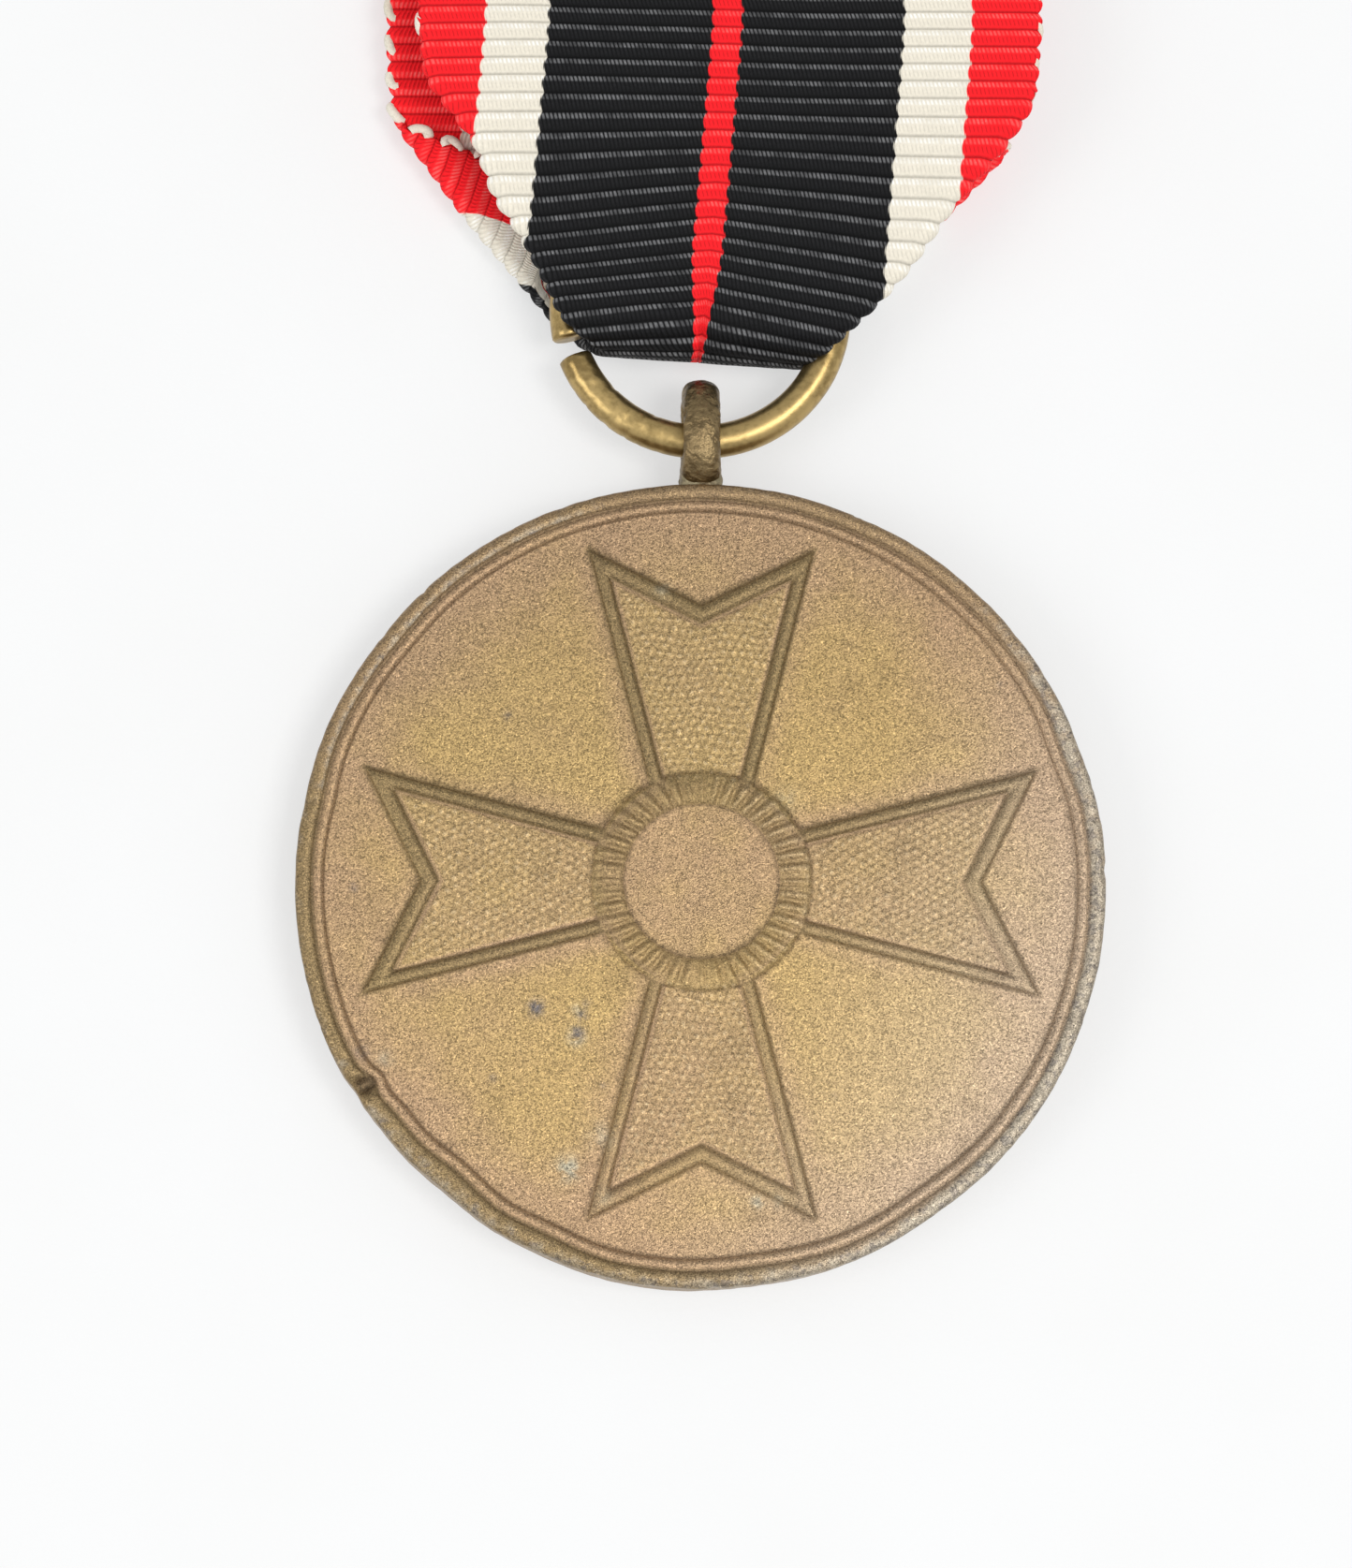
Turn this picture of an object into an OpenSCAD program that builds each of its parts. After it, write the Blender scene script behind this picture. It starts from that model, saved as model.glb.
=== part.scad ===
// Round bronze service medal hanging by an eyelet and a split wire ring from a folded
// ribbed ribbon, with a sewn pin brooch behind the ribbon's head.
// It lies face up: +Z is out of the obverse, +Y runs up the ribbon, and the origin is
// the centre of the reverse rim plane.

/* [Medal disc] */
// Diameter of the struck disc
disc_d = 32.5; // [28:0.5:40]
// Thickness over the two rims
disc_t = 2.4; // [1.8:0.1:3.4]
// Width of the flat outer rim
rim_w = 0.72; // [0.5:0.02:1.2]
// Width of the narrow stepped ring inside the rim
step_w = 0.38; // [0.25:0.01:0.6]
// Depth of the groove between rim and stepped ring, below the rim
groove_depth = 0.3; // [0.2:0.01:0.5]
// Depth of the stepped ring's top below the rim
step_depth = 0.16; // [0.1:0.01:0.25]
// Depth of the field below the rim, on both faces
field_depth = 0.34; // [0.25:0.01:0.5]

/* [Cross] */
// Centre to the points of an arm, along the arm
tip_reach = 13.6; // [11:0.1:13.8]
// Half width of an arm at its points
tip_half = 4.62; // [3.5:0.02:5.2]
// Centre to the bottom of the notch between the points
notch_reach = 11.3; // [9:0.1:12]
// Half width of an arm where it meets the wreath
base_half = 2.2; // [1.6:0.05:2.6]
// Width of the raised border along an arm
border_w = 0.6; // [0.4:0.02:0.8]
// Width of the raised border across an arm's points
notch_border_w = 0.69; // [0.4:0.01:0.9]
// Height of the border over the field
border_h = 0.24; // [0.15:0.01:0.3]
// Height of the panel inside the border over the field
panel_h = 0.08; // [0.04:0.01:0.12]

/* [Wreath] */
// Outer diameter of the wreath round the centre
wreath_d = 8.8; // [7:0.1:10]
// Radial width of the wreath's round band
wreath_w = 1.24; // [0.9:0.02:1.6]
// Height of the wreath over the field
wreath_h = 0.32; // [0.2:0.01:0.34]
// Height of the plain centre over the field
centre_h = 0.1; // [0.05:0.01:0.15]

/* [Reverse] */
// Diameter of the plain tablet, level with the rim
tablet_d = 20; // [14:0.5:22]
// Mean diameter of the garland round the tablet
garland_d = 24.6; // [23.5:0.1:26]
// Radial width of the garland
garland_w = 2.6; // [1.4:0.1:3]
// Height of the garland over the reverse field
garland_h = 0.24; // [0.1:0.01:0.3]

/* [Eyelet] */
// Outer diameter of the loop
eyelet_d = 4.2; // [3.6:0.1:5]
// Diameter of the hole that the ring passes through
eyelet_hole_d = 2.3; // [2:0.1:2.6]
// Width of the loop across the medal
eyelet_w = 1.5; // [1.2:0.05:2]
// Depth that the loop is let into the disc's edge
eyelet_sink = 0.1; // [0.05:0.05:0.3]
// Radius of the loop's rounded edges
eyelet_edge_r = 0.3; // [0.2:0.02:0.4]
// Width of the solder foot under the loop
foot_w = 2.0; // [1.8:0.05:2.6]
// Height of the solder foot over the disc's edge
foot_h = 0.55; // [0.3:0.05:0.8]

/* [Ring] */
// Outer diameter of the split ring
ring_d = 12.4; // [11.6:0.1:14]
// Diameter of the ring's wire
wire_d = 1.4; // [1.2:0.05:1.6]
// Direction of the split from the ring's centre, anticlockwise from +X
split_at = 196; // [100:1:220]
// Angle that the split takes out of the ring
split_angle = 8; // [4:1:14]

/* [Ribbon] */
// Width of the woven ribbon
ribbon_w = 25.5; // [22:0.5:30]
// Thickness of the woven ribbon
ribbon_t = 0.45; // [0.35:0.05:0.55]
// Length from the bottom fold to the top fold
ribbon_l = 44; // [38:1:60]
// Length of the front layer's diagonal folds along the ribbon
front_fold_l = 13; // [10:0.5:18]
// Length of the back layer's diagonal folds along the ribbon
back_fold_l = 9.6; // [8:0.5:14]
// Width of both layers at their lower end
loop_w = 10; // [8:0.5:14]
// Width of the fold that passes through the ring
turn_w = 7.4; // [5:0.2:7.6]
// Room for one folded-in flap beside the ring's wire
flap_room = 0.6; // [0.5:0.05:0.9]

/* [Brooch] */
// Length of the backing plate
plate_l = 23; // [20:0.5:24]
// Height of the backing plate
plate_h = 7; // [6:0.2:9]
// Thickness of the backing plate
plate_t = 0.8; // [0.6:0.1:1.2]
// Plate's back to the needle's axis
needle_drop = 1.65; // [1.5:0.05:2.2]
// Diameter of the needle
needle_d = 0.9; // [0.7:0.05:1.1]
// Diameter of the needle's hub
hub_d = 2.0; // [1.9:0.05:2.4]
// Length of the needle's tapered point
tip_l = 4.2; // [3:0.2:5]
// Diameter of the hinge rivet
rivet_d = 1.0; // [0.8:0.05:1.1]
// Thickness of the hinge bracket's and the catch's sheet metal
sheet_t = 0.5; // [0.4:0.05:0.6]
// Diameter of the sewing thread
thread_d = 0.36; // [0.3:0.02:0.5]
// Number of stitches in each row
stitch_count = 4; // [3:1:5]

/* [Hidden] */
$fn = 96;
eps = 0.01;

// Metal colours and thread colours
bronze = [0.62, 0.47, 0.28];
dark_bronze = [0.42, 0.34, 0.20];
brass = [0.58, 0.48, 0.24];
steel = [0.60, 0.60, 0.60];
cloth = [0.08, 0.08, 0.09];
thread = [0.86, 0.83, 0.74];

// Disc
disc_r = disc_d / 2;
mid_z = disc_t / 2;
field_z = disc_t - field_depth;
groove_w = 0.12;
groove_r = disc_r - rim_w;
step_r = groove_r - groove_w;
field_r = step_r - step_w;

// Cross: the base of an arm starts under the wreath
arm_overlap = 0.3;
base_reach = wreath_d / 2 - arm_overlap;
side_slope = (tip_half - base_half) / (tip_reach - base_reach);
side_angle = atan(side_slope);
notch_angle = atan((tip_reach - notch_reach) / tip_half);

// Eyelet stands on the disc's edge with its hole in line with the ring's wire
eyelet_y = disc_r + eyelet_d / 2 - eyelet_sink;
eyelet_wall = (eyelet_d - eyelet_hole_d) / 2;
foot_root = 0.5;

// Ring: its wire lies on the axis of the eyelet's hole
ring_r = (ring_d - wire_d) / 2;
ring_y = eyelet_y + ring_r;

// Ribbon: both layers lie either side of the ring and of one flap each
layer_gap = wire_d + 2 * flap_room;
turn_r = layer_gap / 2 + ribbon_t;
turn_gap = 0.95;
ribbon_y0 = eyelet_y + eyelet_d / 2 + turn_gap;
turn_y = ribbon_y0 + turn_r;
ribbon_y1 = ribbon_y0 + ribbon_l;
front_z = mid_z + layer_gap / 2;
back_z = mid_z - turn_r;
back_flat_l = 8;
bend_gap = 1.4;
hem_l = 8.4;
hem_margin = 0.7;
head_y0 = ribbon_y1 - hem_l - hem_margin;
body_y1 = head_y0 - bend_gap;

// Head: front layer, tucked end and hem lie on each other
hem_z = front_z - 2 * ribbon_t;
head_fold_r = 1.5 * ribbon_t;

// Brooch plate lies on the hem
plate_z = hem_z - plate_t;
plate_offset = 0.6;
plate_y = ribbon_y1 - hem_l / 2 - plate_offset;
needle_z = plate_z - needle_drop;
needle_r = needle_d / 2;
running = 0.04;
hub_inset = 1;
hinge_x = -plate_l / 2 + hub_d / 2 + hub_inset;
hub_w = 1.9;
ear_gap = 0.08;
ear_margin = 0.05;
ear_r = hub_d / 2 + ear_margin;
ear_y = hub_w / 2 + ear_gap;
rivet_head_margin = 0.3;
rivet_head_r = rivet_d / 2 + rivet_head_margin;
rivet_head_h = 0.3;
collar_wall = 0.2;
collar_l = 0.25;
neck_r = needle_r + collar_wall;
neck_l = hub_d / 2 + collar_l;
tip_inset = 0.4;
tip_r = 0.08;
tip_x = plate_l / 2 - tip_inset;
catch_l = 2.2;
catch_past_taper = 0.8;
catch_x = tip_x - tip_l + catch_l / 2 + catch_past_taper;
catch_slack = 0.08;
catch_lip = 0.35;
hole_slack = 0.3;
hole_d = thread_d + hole_slack;
stitch_l = 1.9;
stitch_edge = 1.1;
stitch_margin = 9;
stitch_shift = 1.6;
stitch_span = plate_l - stitch_margin;

// Outline of one arm that points along +X, moved in by edge along its sides and
// by notch across its points
function arm_points(side_in, notch_in) =
    let (side_off = side_in / cos(side_angle),
         notch_x = notch_reach - notch_in / cos(notch_angle),
         base_h = base_half - side_off,
         notch_rise = tan(notch_angle),
         // where the inner side line meets the inner notch line
         tip_x = (notch_x + notch_rise * (base_h - side_slope * base_reach))
                 / (1 - notch_rise * side_slope),
         tip_h = base_h + side_slope * (tip_x - base_reach))
    [[base_reach - 1, base_h - side_slope],
     [tip_x, tip_h],
     [notch_x, 0],
     [tip_x, -tip_h],
     [base_reach - 1, -base_h + side_slope]];

module arms(side_in, notch_in, h)
    for (a = [0:90:270])
        rotate(a)
            linear_extrude(h)
                polygon(arm_points(side_in, notch_in));

// Flat ring between two radii, cut out of one face
module annulus(outer_r, inner_r, h)
    difference() {
        cylinder(r = outer_r, h = h);
        translate([0, 0, -eps]) cylinder(r = inner_r, h = h + 2 * eps);
    }

module blank()
    difference() {
        cylinder(r = disc_r, h = disc_t);
        // obverse: groove, stepped ring and field
        translate([0, 0, disc_t - groove_depth]) annulus(groove_r, step_r - eps, groove_depth + eps);
        translate([0, 0, disc_t - step_depth]) cylinder(r = step_r, h = step_depth + eps);
        translate([0, 0, field_z]) cylinder(r = field_r, h = field_depth);
        // reverse: recess between the rim's step and the plain tablet
        translate([0, 0, -eps]) annulus(groove_r, field_r - eps, step_depth + eps);
        translate([0, 0, -eps]) annulus(field_r, tablet_d / 2, field_depth + eps);
    }

// Round-topped band that rises h over the plane z = 0; its section is a circle
// through the band's two feet and its crown
module round_band(mean_r, w, h) {
    crown_r = (w * w / 4 + h * h) / (2 * h);
    intersection() {
        rotate_extrude()
            translate([mean_r, h - crown_r]) circle(r = crown_r);
        translate([0, 0, -eps]) cylinder(r = disc_r, h = field_depth);
    }
}

module medal_disc()
    color(bronze)
        union() {
            blank();
            translate([0, 0, field_z - eps]) {
                difference() {
                    arms(0, 0, border_h + eps);
                    translate([0, 0, panel_h + eps]) arms(border_w, notch_border_w, border_h);
                    translate([0, 0, -eps]) cylinder(d = wreath_d - wreath_w, h = 1);
                }
                cylinder(d = wreath_d - wreath_w, h = centre_h + eps);
            }
            translate([0, 0, field_z]) round_band((wreath_d - wreath_w) / 2, wreath_w, wreath_h);
            translate([0, 0, field_depth])
                mirror([0, 0, 1]) round_band(garland_d / 2, garland_w, garland_h);
        }

// Rounded rectangle section of the eyelet's loop, standing beside the axis
module loop_section(inner_r, wall, w, r)
    translate([inner_r, -w / 2]) {
        translate([0, r]) square([wall, w - 2 * r]);
        translate([r, 0]) square([wall - 2 * r, w]);
        for (x = [r, wall - r], y = [r, w - r])
            translate([x, y]) circle(r = r, $fn = 48);
    }

// The disc's edge as a cutter, fine enough for the small pieces that it trims
module edge_cut()
    translate([0, 0, -disc_t]) cylinder(r = disc_r, h = 4 * disc_t, $fn = 720);

module eyelet()
    color(dark_bronze)
        difference() {
            translate([0, eyelet_y, mid_z])
                rotate([0, 90, 0])
                    rotate_extrude()
                        loop_section(eyelet_hole_d / 2, eyelet_wall, eyelet_w, eyelet_edge_r);
            edge_cut();
        }

// Solder that joins the loop to the disc's edge, level with the disc's faces
module solder_foot()
    color(dark_bronze)
        difference() {
            translate([-foot_w / 2, disc_r - foot_root, mid_z - foot_w / 2])
                cube([foot_w, foot_h + foot_root, foot_w]);
            edge_cut();
            translate([-eyelet_w / 2, eyelet_y, mid_z])
                rotate([0, 90, 0])
                    cylinder(d = eyelet_d, h = eyelet_w, $fn = 360);
        }

module suspension_ring()
    color(brass)
        translate([0, ring_y, mid_z])
            rotate(split_at + split_angle / 2)
                rotate_extrude(angle = 360 - split_angle)
                    translate([ring_r, 0]) circle(d = wire_d, $fn = 64);

// Plan of one ribbon layer from its lower end to its straight upper part
module layer_plan(fold_l)
    polygon([[-loop_w / 2, turn_y], [-ribbon_w / 2, turn_y + fold_l],
             [-ribbon_w / 2, body_y1], [ribbon_w / 2, body_y1],
             [ribbon_w / 2, turn_y + fold_l], [loop_w / 2, turn_y]]);

module ribbon_front()
    color(cloth)
        translate([0, 0, front_z])
            linear_extrude(ribbon_t) layer_plan(front_fold_l);

// Side view of the back layer: flat under the ring, then rising to the head
module back_profile()
    polygon([[turn_y, back_z], [turn_y + back_flat_l, back_z],
             [body_y1, front_z - ribbon_t], [body_y1, front_z],
             [turn_y + back_flat_l, back_z + ribbon_t], [turn_y, back_z + ribbon_t]]);

module ribbon_back()
    color(cloth)
        intersection() {
            translate([ribbon_w / 2, 0, 0])
                rotate([0, -90, 0])
                    mirror([1, -1, 0])
                        linear_extrude(ribbon_w) back_profile();
            translate([0, 0, back_z - 1])
                linear_extrude(2 * turn_r + 4) layer_plan(back_fold_l);
        }

// Half tube of cloth that turns from the front layer to the back one through the ring
module ribbon_turn()
    color(cloth)
        translate([-turn_w / 2, turn_y, mid_z])
            rotate([0, 90, 0])
                difference() {
                    cylinder(r = turn_r, h = turn_w);
                    translate([0, 0, -1]) cylinder(r = turn_r - ribbon_t, h = turn_w + 2);
                    translate([-turn_r - 1, 0, -1])
                        cube([2 * turn_r + 2, turn_r + 2, turn_w + 2]);
                }

// Front layer of the head, its fold over the top and the hem behind
module ribbon_head()
    color(cloth) {
        top_y = ribbon_y1 - head_fold_r;
        fold_z = front_z + ribbon_t - head_fold_r;
        translate([-ribbon_w / 2, head_y0, front_z])
            cube([ribbon_w, top_y - head_y0, ribbon_t]);
        translate([-ribbon_w / 2, ribbon_y1 - hem_l, hem_z])
            cube([ribbon_w, top_y - ribbon_y1 + hem_l, ribbon_t]);
        translate([-ribbon_w / 2, top_y, fold_z])
            rotate([0, 90, 0])
                difference() {
                    cylinder(r = head_fold_r, h = ribbon_w);
                    translate([0, 0, -1]) cylinder(r = head_fold_r - ribbon_t, h = ribbon_w + 2);
                    translate([-head_fold_r - 1, -head_fold_r - 1, -1])
                        cube([2 * head_fold_r + 2, head_fold_r + 1, ribbon_w + 2]);
                }
    }

// Upper end of the back layer, tucked between the front layer and the hem
module ribbon_end()
    color(cloth)
        translate([-ribbon_w / 2, head_y0, front_z - ribbon_t])
            cube([ribbon_w, ribbon_y1 - head_fold_r - head_y0, ribbon_t]);

// Places of the stitches: two rows, along the plate's long edges
function stitch_x(i) = -stitch_span / 2 + i * stitch_span / (stitch_count - 1);

module at_stitches()
    for (side = [-1, 1], i = [0:stitch_count - 1])
        translate([stitch_x(i) + stitch_shift, plate_y + side * (plate_h / 2 - stitch_edge), 0])
            children();

module brooch_plate()
    color(brass)
        difference() {
            translate([-plate_l / 2, plate_y - plate_h / 2, plate_z])
                cube([plate_l, plate_h, plate_t]);
            at_stitches()
                for (end = [-1, 1])
                    translate([end * stitch_l / 2, 0, plate_z - 1])
                        cylinder(d = hole_d, h = plate_t + 2, $fn = 32);
        }

// Thread on the plate's back with a leg down each hole to the hem
module stitches()
    color(thread)
        at_stitches()
            translate([0, 0, plate_z]) {
                translate([-stitch_l / 2, 0, -thread_d / 2])
                    rotate([0, 90, 0])
                        cylinder(d = thread_d, h = stitch_l, $fn = 24);
                for (end = [-1, 1])
                    translate([end * stitch_l / 2, 0, -thread_d / 2]) {
                        sphere(d = thread_d, $fn = 24);
                        cylinder(d = thread_d, h = plate_t + thread_d / 2, $fn = 24);
                    }
            }

// Folded sheet: a base on the plate and two ears that hold the rivet
module hinge_bracket()
    color(brass)
        difference() {
            union() {
                translate([hinge_x - ear_r, plate_y - ear_y - sheet_t, plate_z - sheet_t])
                    cube([2 * ear_r, 2 * (ear_y + sheet_t), sheet_t]);
                for (y = [-ear_y - sheet_t, ear_y])
                    translate([hinge_x, plate_y + y, needle_z]) {
                        rotate([-90, 0, 0]) cylinder(r = ear_r, h = sheet_t);
                        translate([-ear_r, 0, 0]) cube([2 * ear_r, sheet_t, needle_drop - eps]);
                    }
            }
            translate([hinge_x, plate_y - ear_y - sheet_t - 1, needle_z])
                rotate([-90, 0, 0])
                    cylinder(d = rivet_d, h = 2 * (ear_y + sheet_t + 1));
        }

module hinge_rivet()
    color(steel)
        translate([hinge_x, plate_y, needle_z])
            rotate([-90, 0, 0]) {
                half_l = ear_y + sheet_t;
                translate([0, 0, -half_l]) cylinder(d = rivet_d, h = 2 * half_l);
                translate([0, 0, half_l]) cylinder(r = rivet_head_r, h = rivet_head_h);
                translate([0, 0, -half_l - rivet_head_h])
                    cylinder(r = rivet_head_r, h = rivet_head_h);
            }

module needle()
    color(steel)
        translate([hinge_x, plate_y, needle_z])
            difference() {
                union() {
                    rotate([-90, 0, 0])
                        translate([0, 0, -hub_w / 2]) cylinder(d = hub_d, h = hub_w);
                    rotate([0, 90, 0]) {
                        cylinder(r = neck_r, h = neck_l);
                        cylinder(r = needle_r, h = tip_x - tip_l - hinge_x);
                    }
                    translate([tip_x - tip_l - hinge_x, 0, 0])
                        rotate([0, 90, 0])
                            cylinder(r1 = needle_r, r2 = tip_r, h = tip_l);
                }
                rotate([-90, 0, 0])
                    translate([0, 0, -hub_w])
                        cylinder(r = rivet_d / 2 + running, h = 2 * hub_w);
            }

// Trough of sheet metal that the needle's end drops into
module needle_catch()
    color(brass) {
        cheek_y = needle_r + catch_slack;
        translate([catch_x - catch_l / 2, plate_y - cheek_y - sheet_t, plate_z - sheet_t])
            cube([catch_l, 2 * (cheek_y + sheet_t), sheet_t]);
        for (y = [-cheek_y - sheet_t, cheek_y])
            translate([catch_x - catch_l / 2, plate_y + y, needle_z - needle_r - catch_lip])
                cube([catch_l, sheet_t, needle_drop + needle_r + catch_lip - eps]);
    }

medal_disc();
eyelet();
solder_foot();
suspension_ring();
ribbon_front();
ribbon_turn();
ribbon_back();
ribbon_head();
ribbon_end();
brooch_plate();
hinge_bracket();
hinge_rivet();
needle();
needle_catch();
stitches();
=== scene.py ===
"""The looks of a round bronze service medal on a folded, ribbed ribbon with a sewn pin brooch.

Lengths in the classes are millimetres; meshes are written in metres. Places come from the
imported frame's boxes.
"""
import logging
import math
from dataclasses import dataclass, field
from enum import Enum
from functools import partial

import bmesh
import bpy
import numpy as np
from mathutils import Matrix, Vector, kdtree
from mathutils.geometry import delaunay_2d_cdt


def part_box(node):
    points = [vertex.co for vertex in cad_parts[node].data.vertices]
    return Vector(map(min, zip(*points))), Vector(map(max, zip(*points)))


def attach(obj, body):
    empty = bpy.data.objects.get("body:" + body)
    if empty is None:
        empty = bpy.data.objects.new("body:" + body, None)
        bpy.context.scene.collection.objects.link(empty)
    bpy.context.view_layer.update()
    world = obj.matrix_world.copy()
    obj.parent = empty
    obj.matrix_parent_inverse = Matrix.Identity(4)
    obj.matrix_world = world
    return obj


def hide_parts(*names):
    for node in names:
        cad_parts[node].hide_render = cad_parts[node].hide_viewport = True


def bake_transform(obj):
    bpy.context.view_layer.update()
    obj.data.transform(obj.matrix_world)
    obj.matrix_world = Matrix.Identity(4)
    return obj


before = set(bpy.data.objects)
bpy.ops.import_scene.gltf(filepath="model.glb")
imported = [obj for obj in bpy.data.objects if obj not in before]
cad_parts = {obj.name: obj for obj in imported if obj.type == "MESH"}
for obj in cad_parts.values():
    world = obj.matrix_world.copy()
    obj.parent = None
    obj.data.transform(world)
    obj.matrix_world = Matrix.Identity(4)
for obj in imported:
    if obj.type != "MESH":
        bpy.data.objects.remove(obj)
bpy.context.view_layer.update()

MM = 0.001
ROW_PITCH = 0.866        # distance between rows of staggered points, as a share of their step
log = logging.getLogger("medal")


# ---------------------------------------------------------------- boxes and meshes

@dataclass(frozen=True)
class Box:
    """A CAD node's box in millimetres."""

    lo: np.ndarray
    hi: np.ndarray

    @classmethod
    def of(cls, node: str) -> "Box":
        """The box of one CAD node at rest."""
        low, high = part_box(node)
        return cls(np.array(low) / MM, np.array(high) / MM)

    @property
    def size(self) -> np.ndarray:
        """Side lengths."""
        return self.hi - self.lo

    @property
    def mid(self) -> np.ndarray:
        """Centre point."""
        return (self.hi + self.lo) / 2


def box_of(node: str) -> Box:
    """A dataclass field that holds one CAD node's box."""
    return field(default_factory=partial(Box.of, node))


def new_object(name: str, verts: np.ndarray, faces: list, smooth: bool = True) -> bpy.types.Object:
    """Makes a mesh object from points in millimetres.

    Args:
        name: name of the object and its mesh.
        verts: points, one row each, in millimetres.
        faces: lists of point numbers.
        smooth: whether the faces are shaded smooth.

    Returns:
        The linked object.
    """
    mesh = bpy.data.meshes.new(name)
    mesh.from_pydata((np.asarray(verts, float) * MM).tolist(), [], [list(f) for f in faces])
    mesh.validate()
    mesh.polygons.foreach_set("use_smooth", [smooth] * len(mesh.polygons))
    mesh.update()
    made = bpy.data.objects.new(name, mesh)
    bpy.context.scene.collection.objects.link(made)
    return made


def set_values(ob: bpy.types.Object, name: str, values: np.ndarray) -> None:
    """Stores one number per vertex under a name that a finish can read."""
    layer = ob.data.attributes.new(name, "FLOAT", "POINT")
    layer.data.foreach_set("value", np.asarray(values, np.float32).ravel())


def set_map(ob: bpy.types.Object, name: str, uv: np.ndarray) -> None:
    """Stores a UV map given as one row per vertex.

    Args:
        ob: the mesh object.
        name: name of the map.
        uv: u and v of each vertex.
    """
    layer = ob.data.uv_layers.new(name=name)
    corner = np.zeros(len(ob.data.loops), np.int32)
    ob.data.loops.foreach_get("vertex_index", corner)
    layer.data.foreach_set("uv", np.asarray(uv, np.float32)[corner].ravel())


def dress_piece(ob: bpy.types.Object, finish: bpy.types.Material, body: str, slot: str,
                *nodes: str) -> bpy.types.Object:
    """Gives a piece its finish and its body, and hides the CAD nodes that it stands for.

    Args:
        ob: the piece.
        finish: its material.
        body: the body that it rides on.
        slot: name of its slot; not used.
        nodes: the CAD nodes that it replaces.

    Returns:
        The same piece.
    """
    ob.data.materials.append(finish)
    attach(ob, body)
    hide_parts(*nodes)
    return ob


def weld(ob: bpy.types.Object, gap: float = 0.002) -> None:
    """Joins points closer than the gap and drops the faces that vanish.

    Args:
        ob: the mesh object.
        gap: the gap in millimetres.
    """
    work = bmesh.new()
    work.from_mesh(ob.data)
    bmesh.ops.remove_doubles(work, verts=work.verts, dist=gap * MM)
    bmesh.ops.recalc_face_normals(work, faces=work.faces)
    work.to_mesh(ob.data)
    work.free()


def grid_faces(rows: int, columns: int, wrap_rows: bool = False, wrap_columns: bool = False,
               start: int = 0) -> np.ndarray:
    """Quads over a grid of points stored row by row.

    Args:
        rows: number of rows of points.
        columns: number of points in a row.
        wrap_rows: whether the last row joins the first.
        wrap_columns: whether each row closes on itself.
        start: number of the grid's first point.

    Returns:
        An array of four point numbers per face.
    """
    i = np.arange(rows if wrap_rows else rows - 1)
    j = np.arange(columns if wrap_columns else columns - 1)
    i, j = np.meshgrid(i, j, indexing="ij")
    up, over = (i + 1) % rows, (j + 1) % columns
    quads = np.stack([i * columns + j, i * columns + over, up * columns + over, up * columns + j], -1)
    return quads.reshape(-1, 4) + start


def ease(value: np.ndarray, low: float, high: float) -> np.ndarray:
    """A smooth step from 0 at low to 1 at high."""
    t = np.clip((np.asarray(value, float) - low) / (high - low), 0, 1)
    return t * t * (3 - 2 * t)


def profile(value: np.ndarray, knots: tuple) -> np.ndarray:
    """Reads a line through knots given as pairs of place and value."""
    places, values = zip(*knots)
    return np.interp(value, places, values)


def ripple(x: np.ndarray, y: np.ndarray, size: float, seed: int) -> np.ndarray:
    """Smooth noise between about -1 and 1, from waves of several directions.

    Args:
        x: first coordinate.
        y: second coordinate.
        size: typical distance between two crests.
        seed: picks the pattern.

    Returns:
        One value per point.
    """
    rng = np.random.default_rng(seed)
    total = np.zeros(np.shape(x))
    waves = 9
    for _ in range(waves):
        turn, phase = rng.uniform(0, math.tau, 2)
        wave = math.tau / (size * rng.uniform(0.7, 1.6))
        total = total + np.sin(wave * (np.cos(turn) * x + np.sin(turn) * y) + phase)
    return total / math.sqrt(waves * 2)


def smoothed(values: np.ndarray, reach: int) -> np.ndarray:
    """Blurs a row of values over a number of neighbours on each side."""
    weights = np.exp(-np.linspace(-2, 2, 2 * reach + 1) ** 2)
    return np.convolve(np.pad(values, reach, mode="edge"), weights / weights.sum(), "valid")


def lengths_along(line: np.ndarray) -> np.ndarray:
    """Length of a line of points, up to each of its points."""
    return np.concatenate([[0], np.cumsum(np.hypot(*np.diff(line, axis=0).T))])


def circle(turn: np.ndarray) -> np.ndarray:
    """Points of the unit circle, one row per angle in radians."""
    return np.stack([np.cos(turn), np.sin(turn)], 1)


def staggered(places: np.ndarray, rows: np.ndarray, step: float) -> np.ndarray:
    """Moves the points of every other row by half a step."""
    return places + (np.round(rows / (step * ROW_PITCH)) % 2) * step / 2


def squircle(width: float, height: float, power: float, count: int) -> np.ndarray:
    """A closed outline between an ellipse (power 2) and a rectangle (larger powers).

    Args:
        width: width of the outline.
        height: height of the outline.
        power: how square it is.
        count: number of points.

    Returns:
        Its points, one row each.
    """
    c, s = circle(np.arange(count) * math.tau / count).T
    grow = (abs(c) ** power + abs(s) ** power) ** (-1 / power)
    return np.stack([c * grow * width / 2, s * grow * height / 2], 1)


def sweep(centres: np.ndarray, sides: np.ndarray, ups: np.ndarray, outline: np.ndarray) -> np.ndarray:
    """Points of an outline carried along a line.

    Args:
        centres: points of the line.
        sides: direction of the outline's first axis at each point.
        ups: direction of its second axis at each point.
        outline: points of the outline, one row each.

    Returns:
        The points, one row of the outline after another.
    """
    rows = centres[:, None] + sides[:, None] * outline[None, :, :1] + ups[:, None] * outline[None, :, 1:]
    return rows.reshape(-1, 3)


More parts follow.
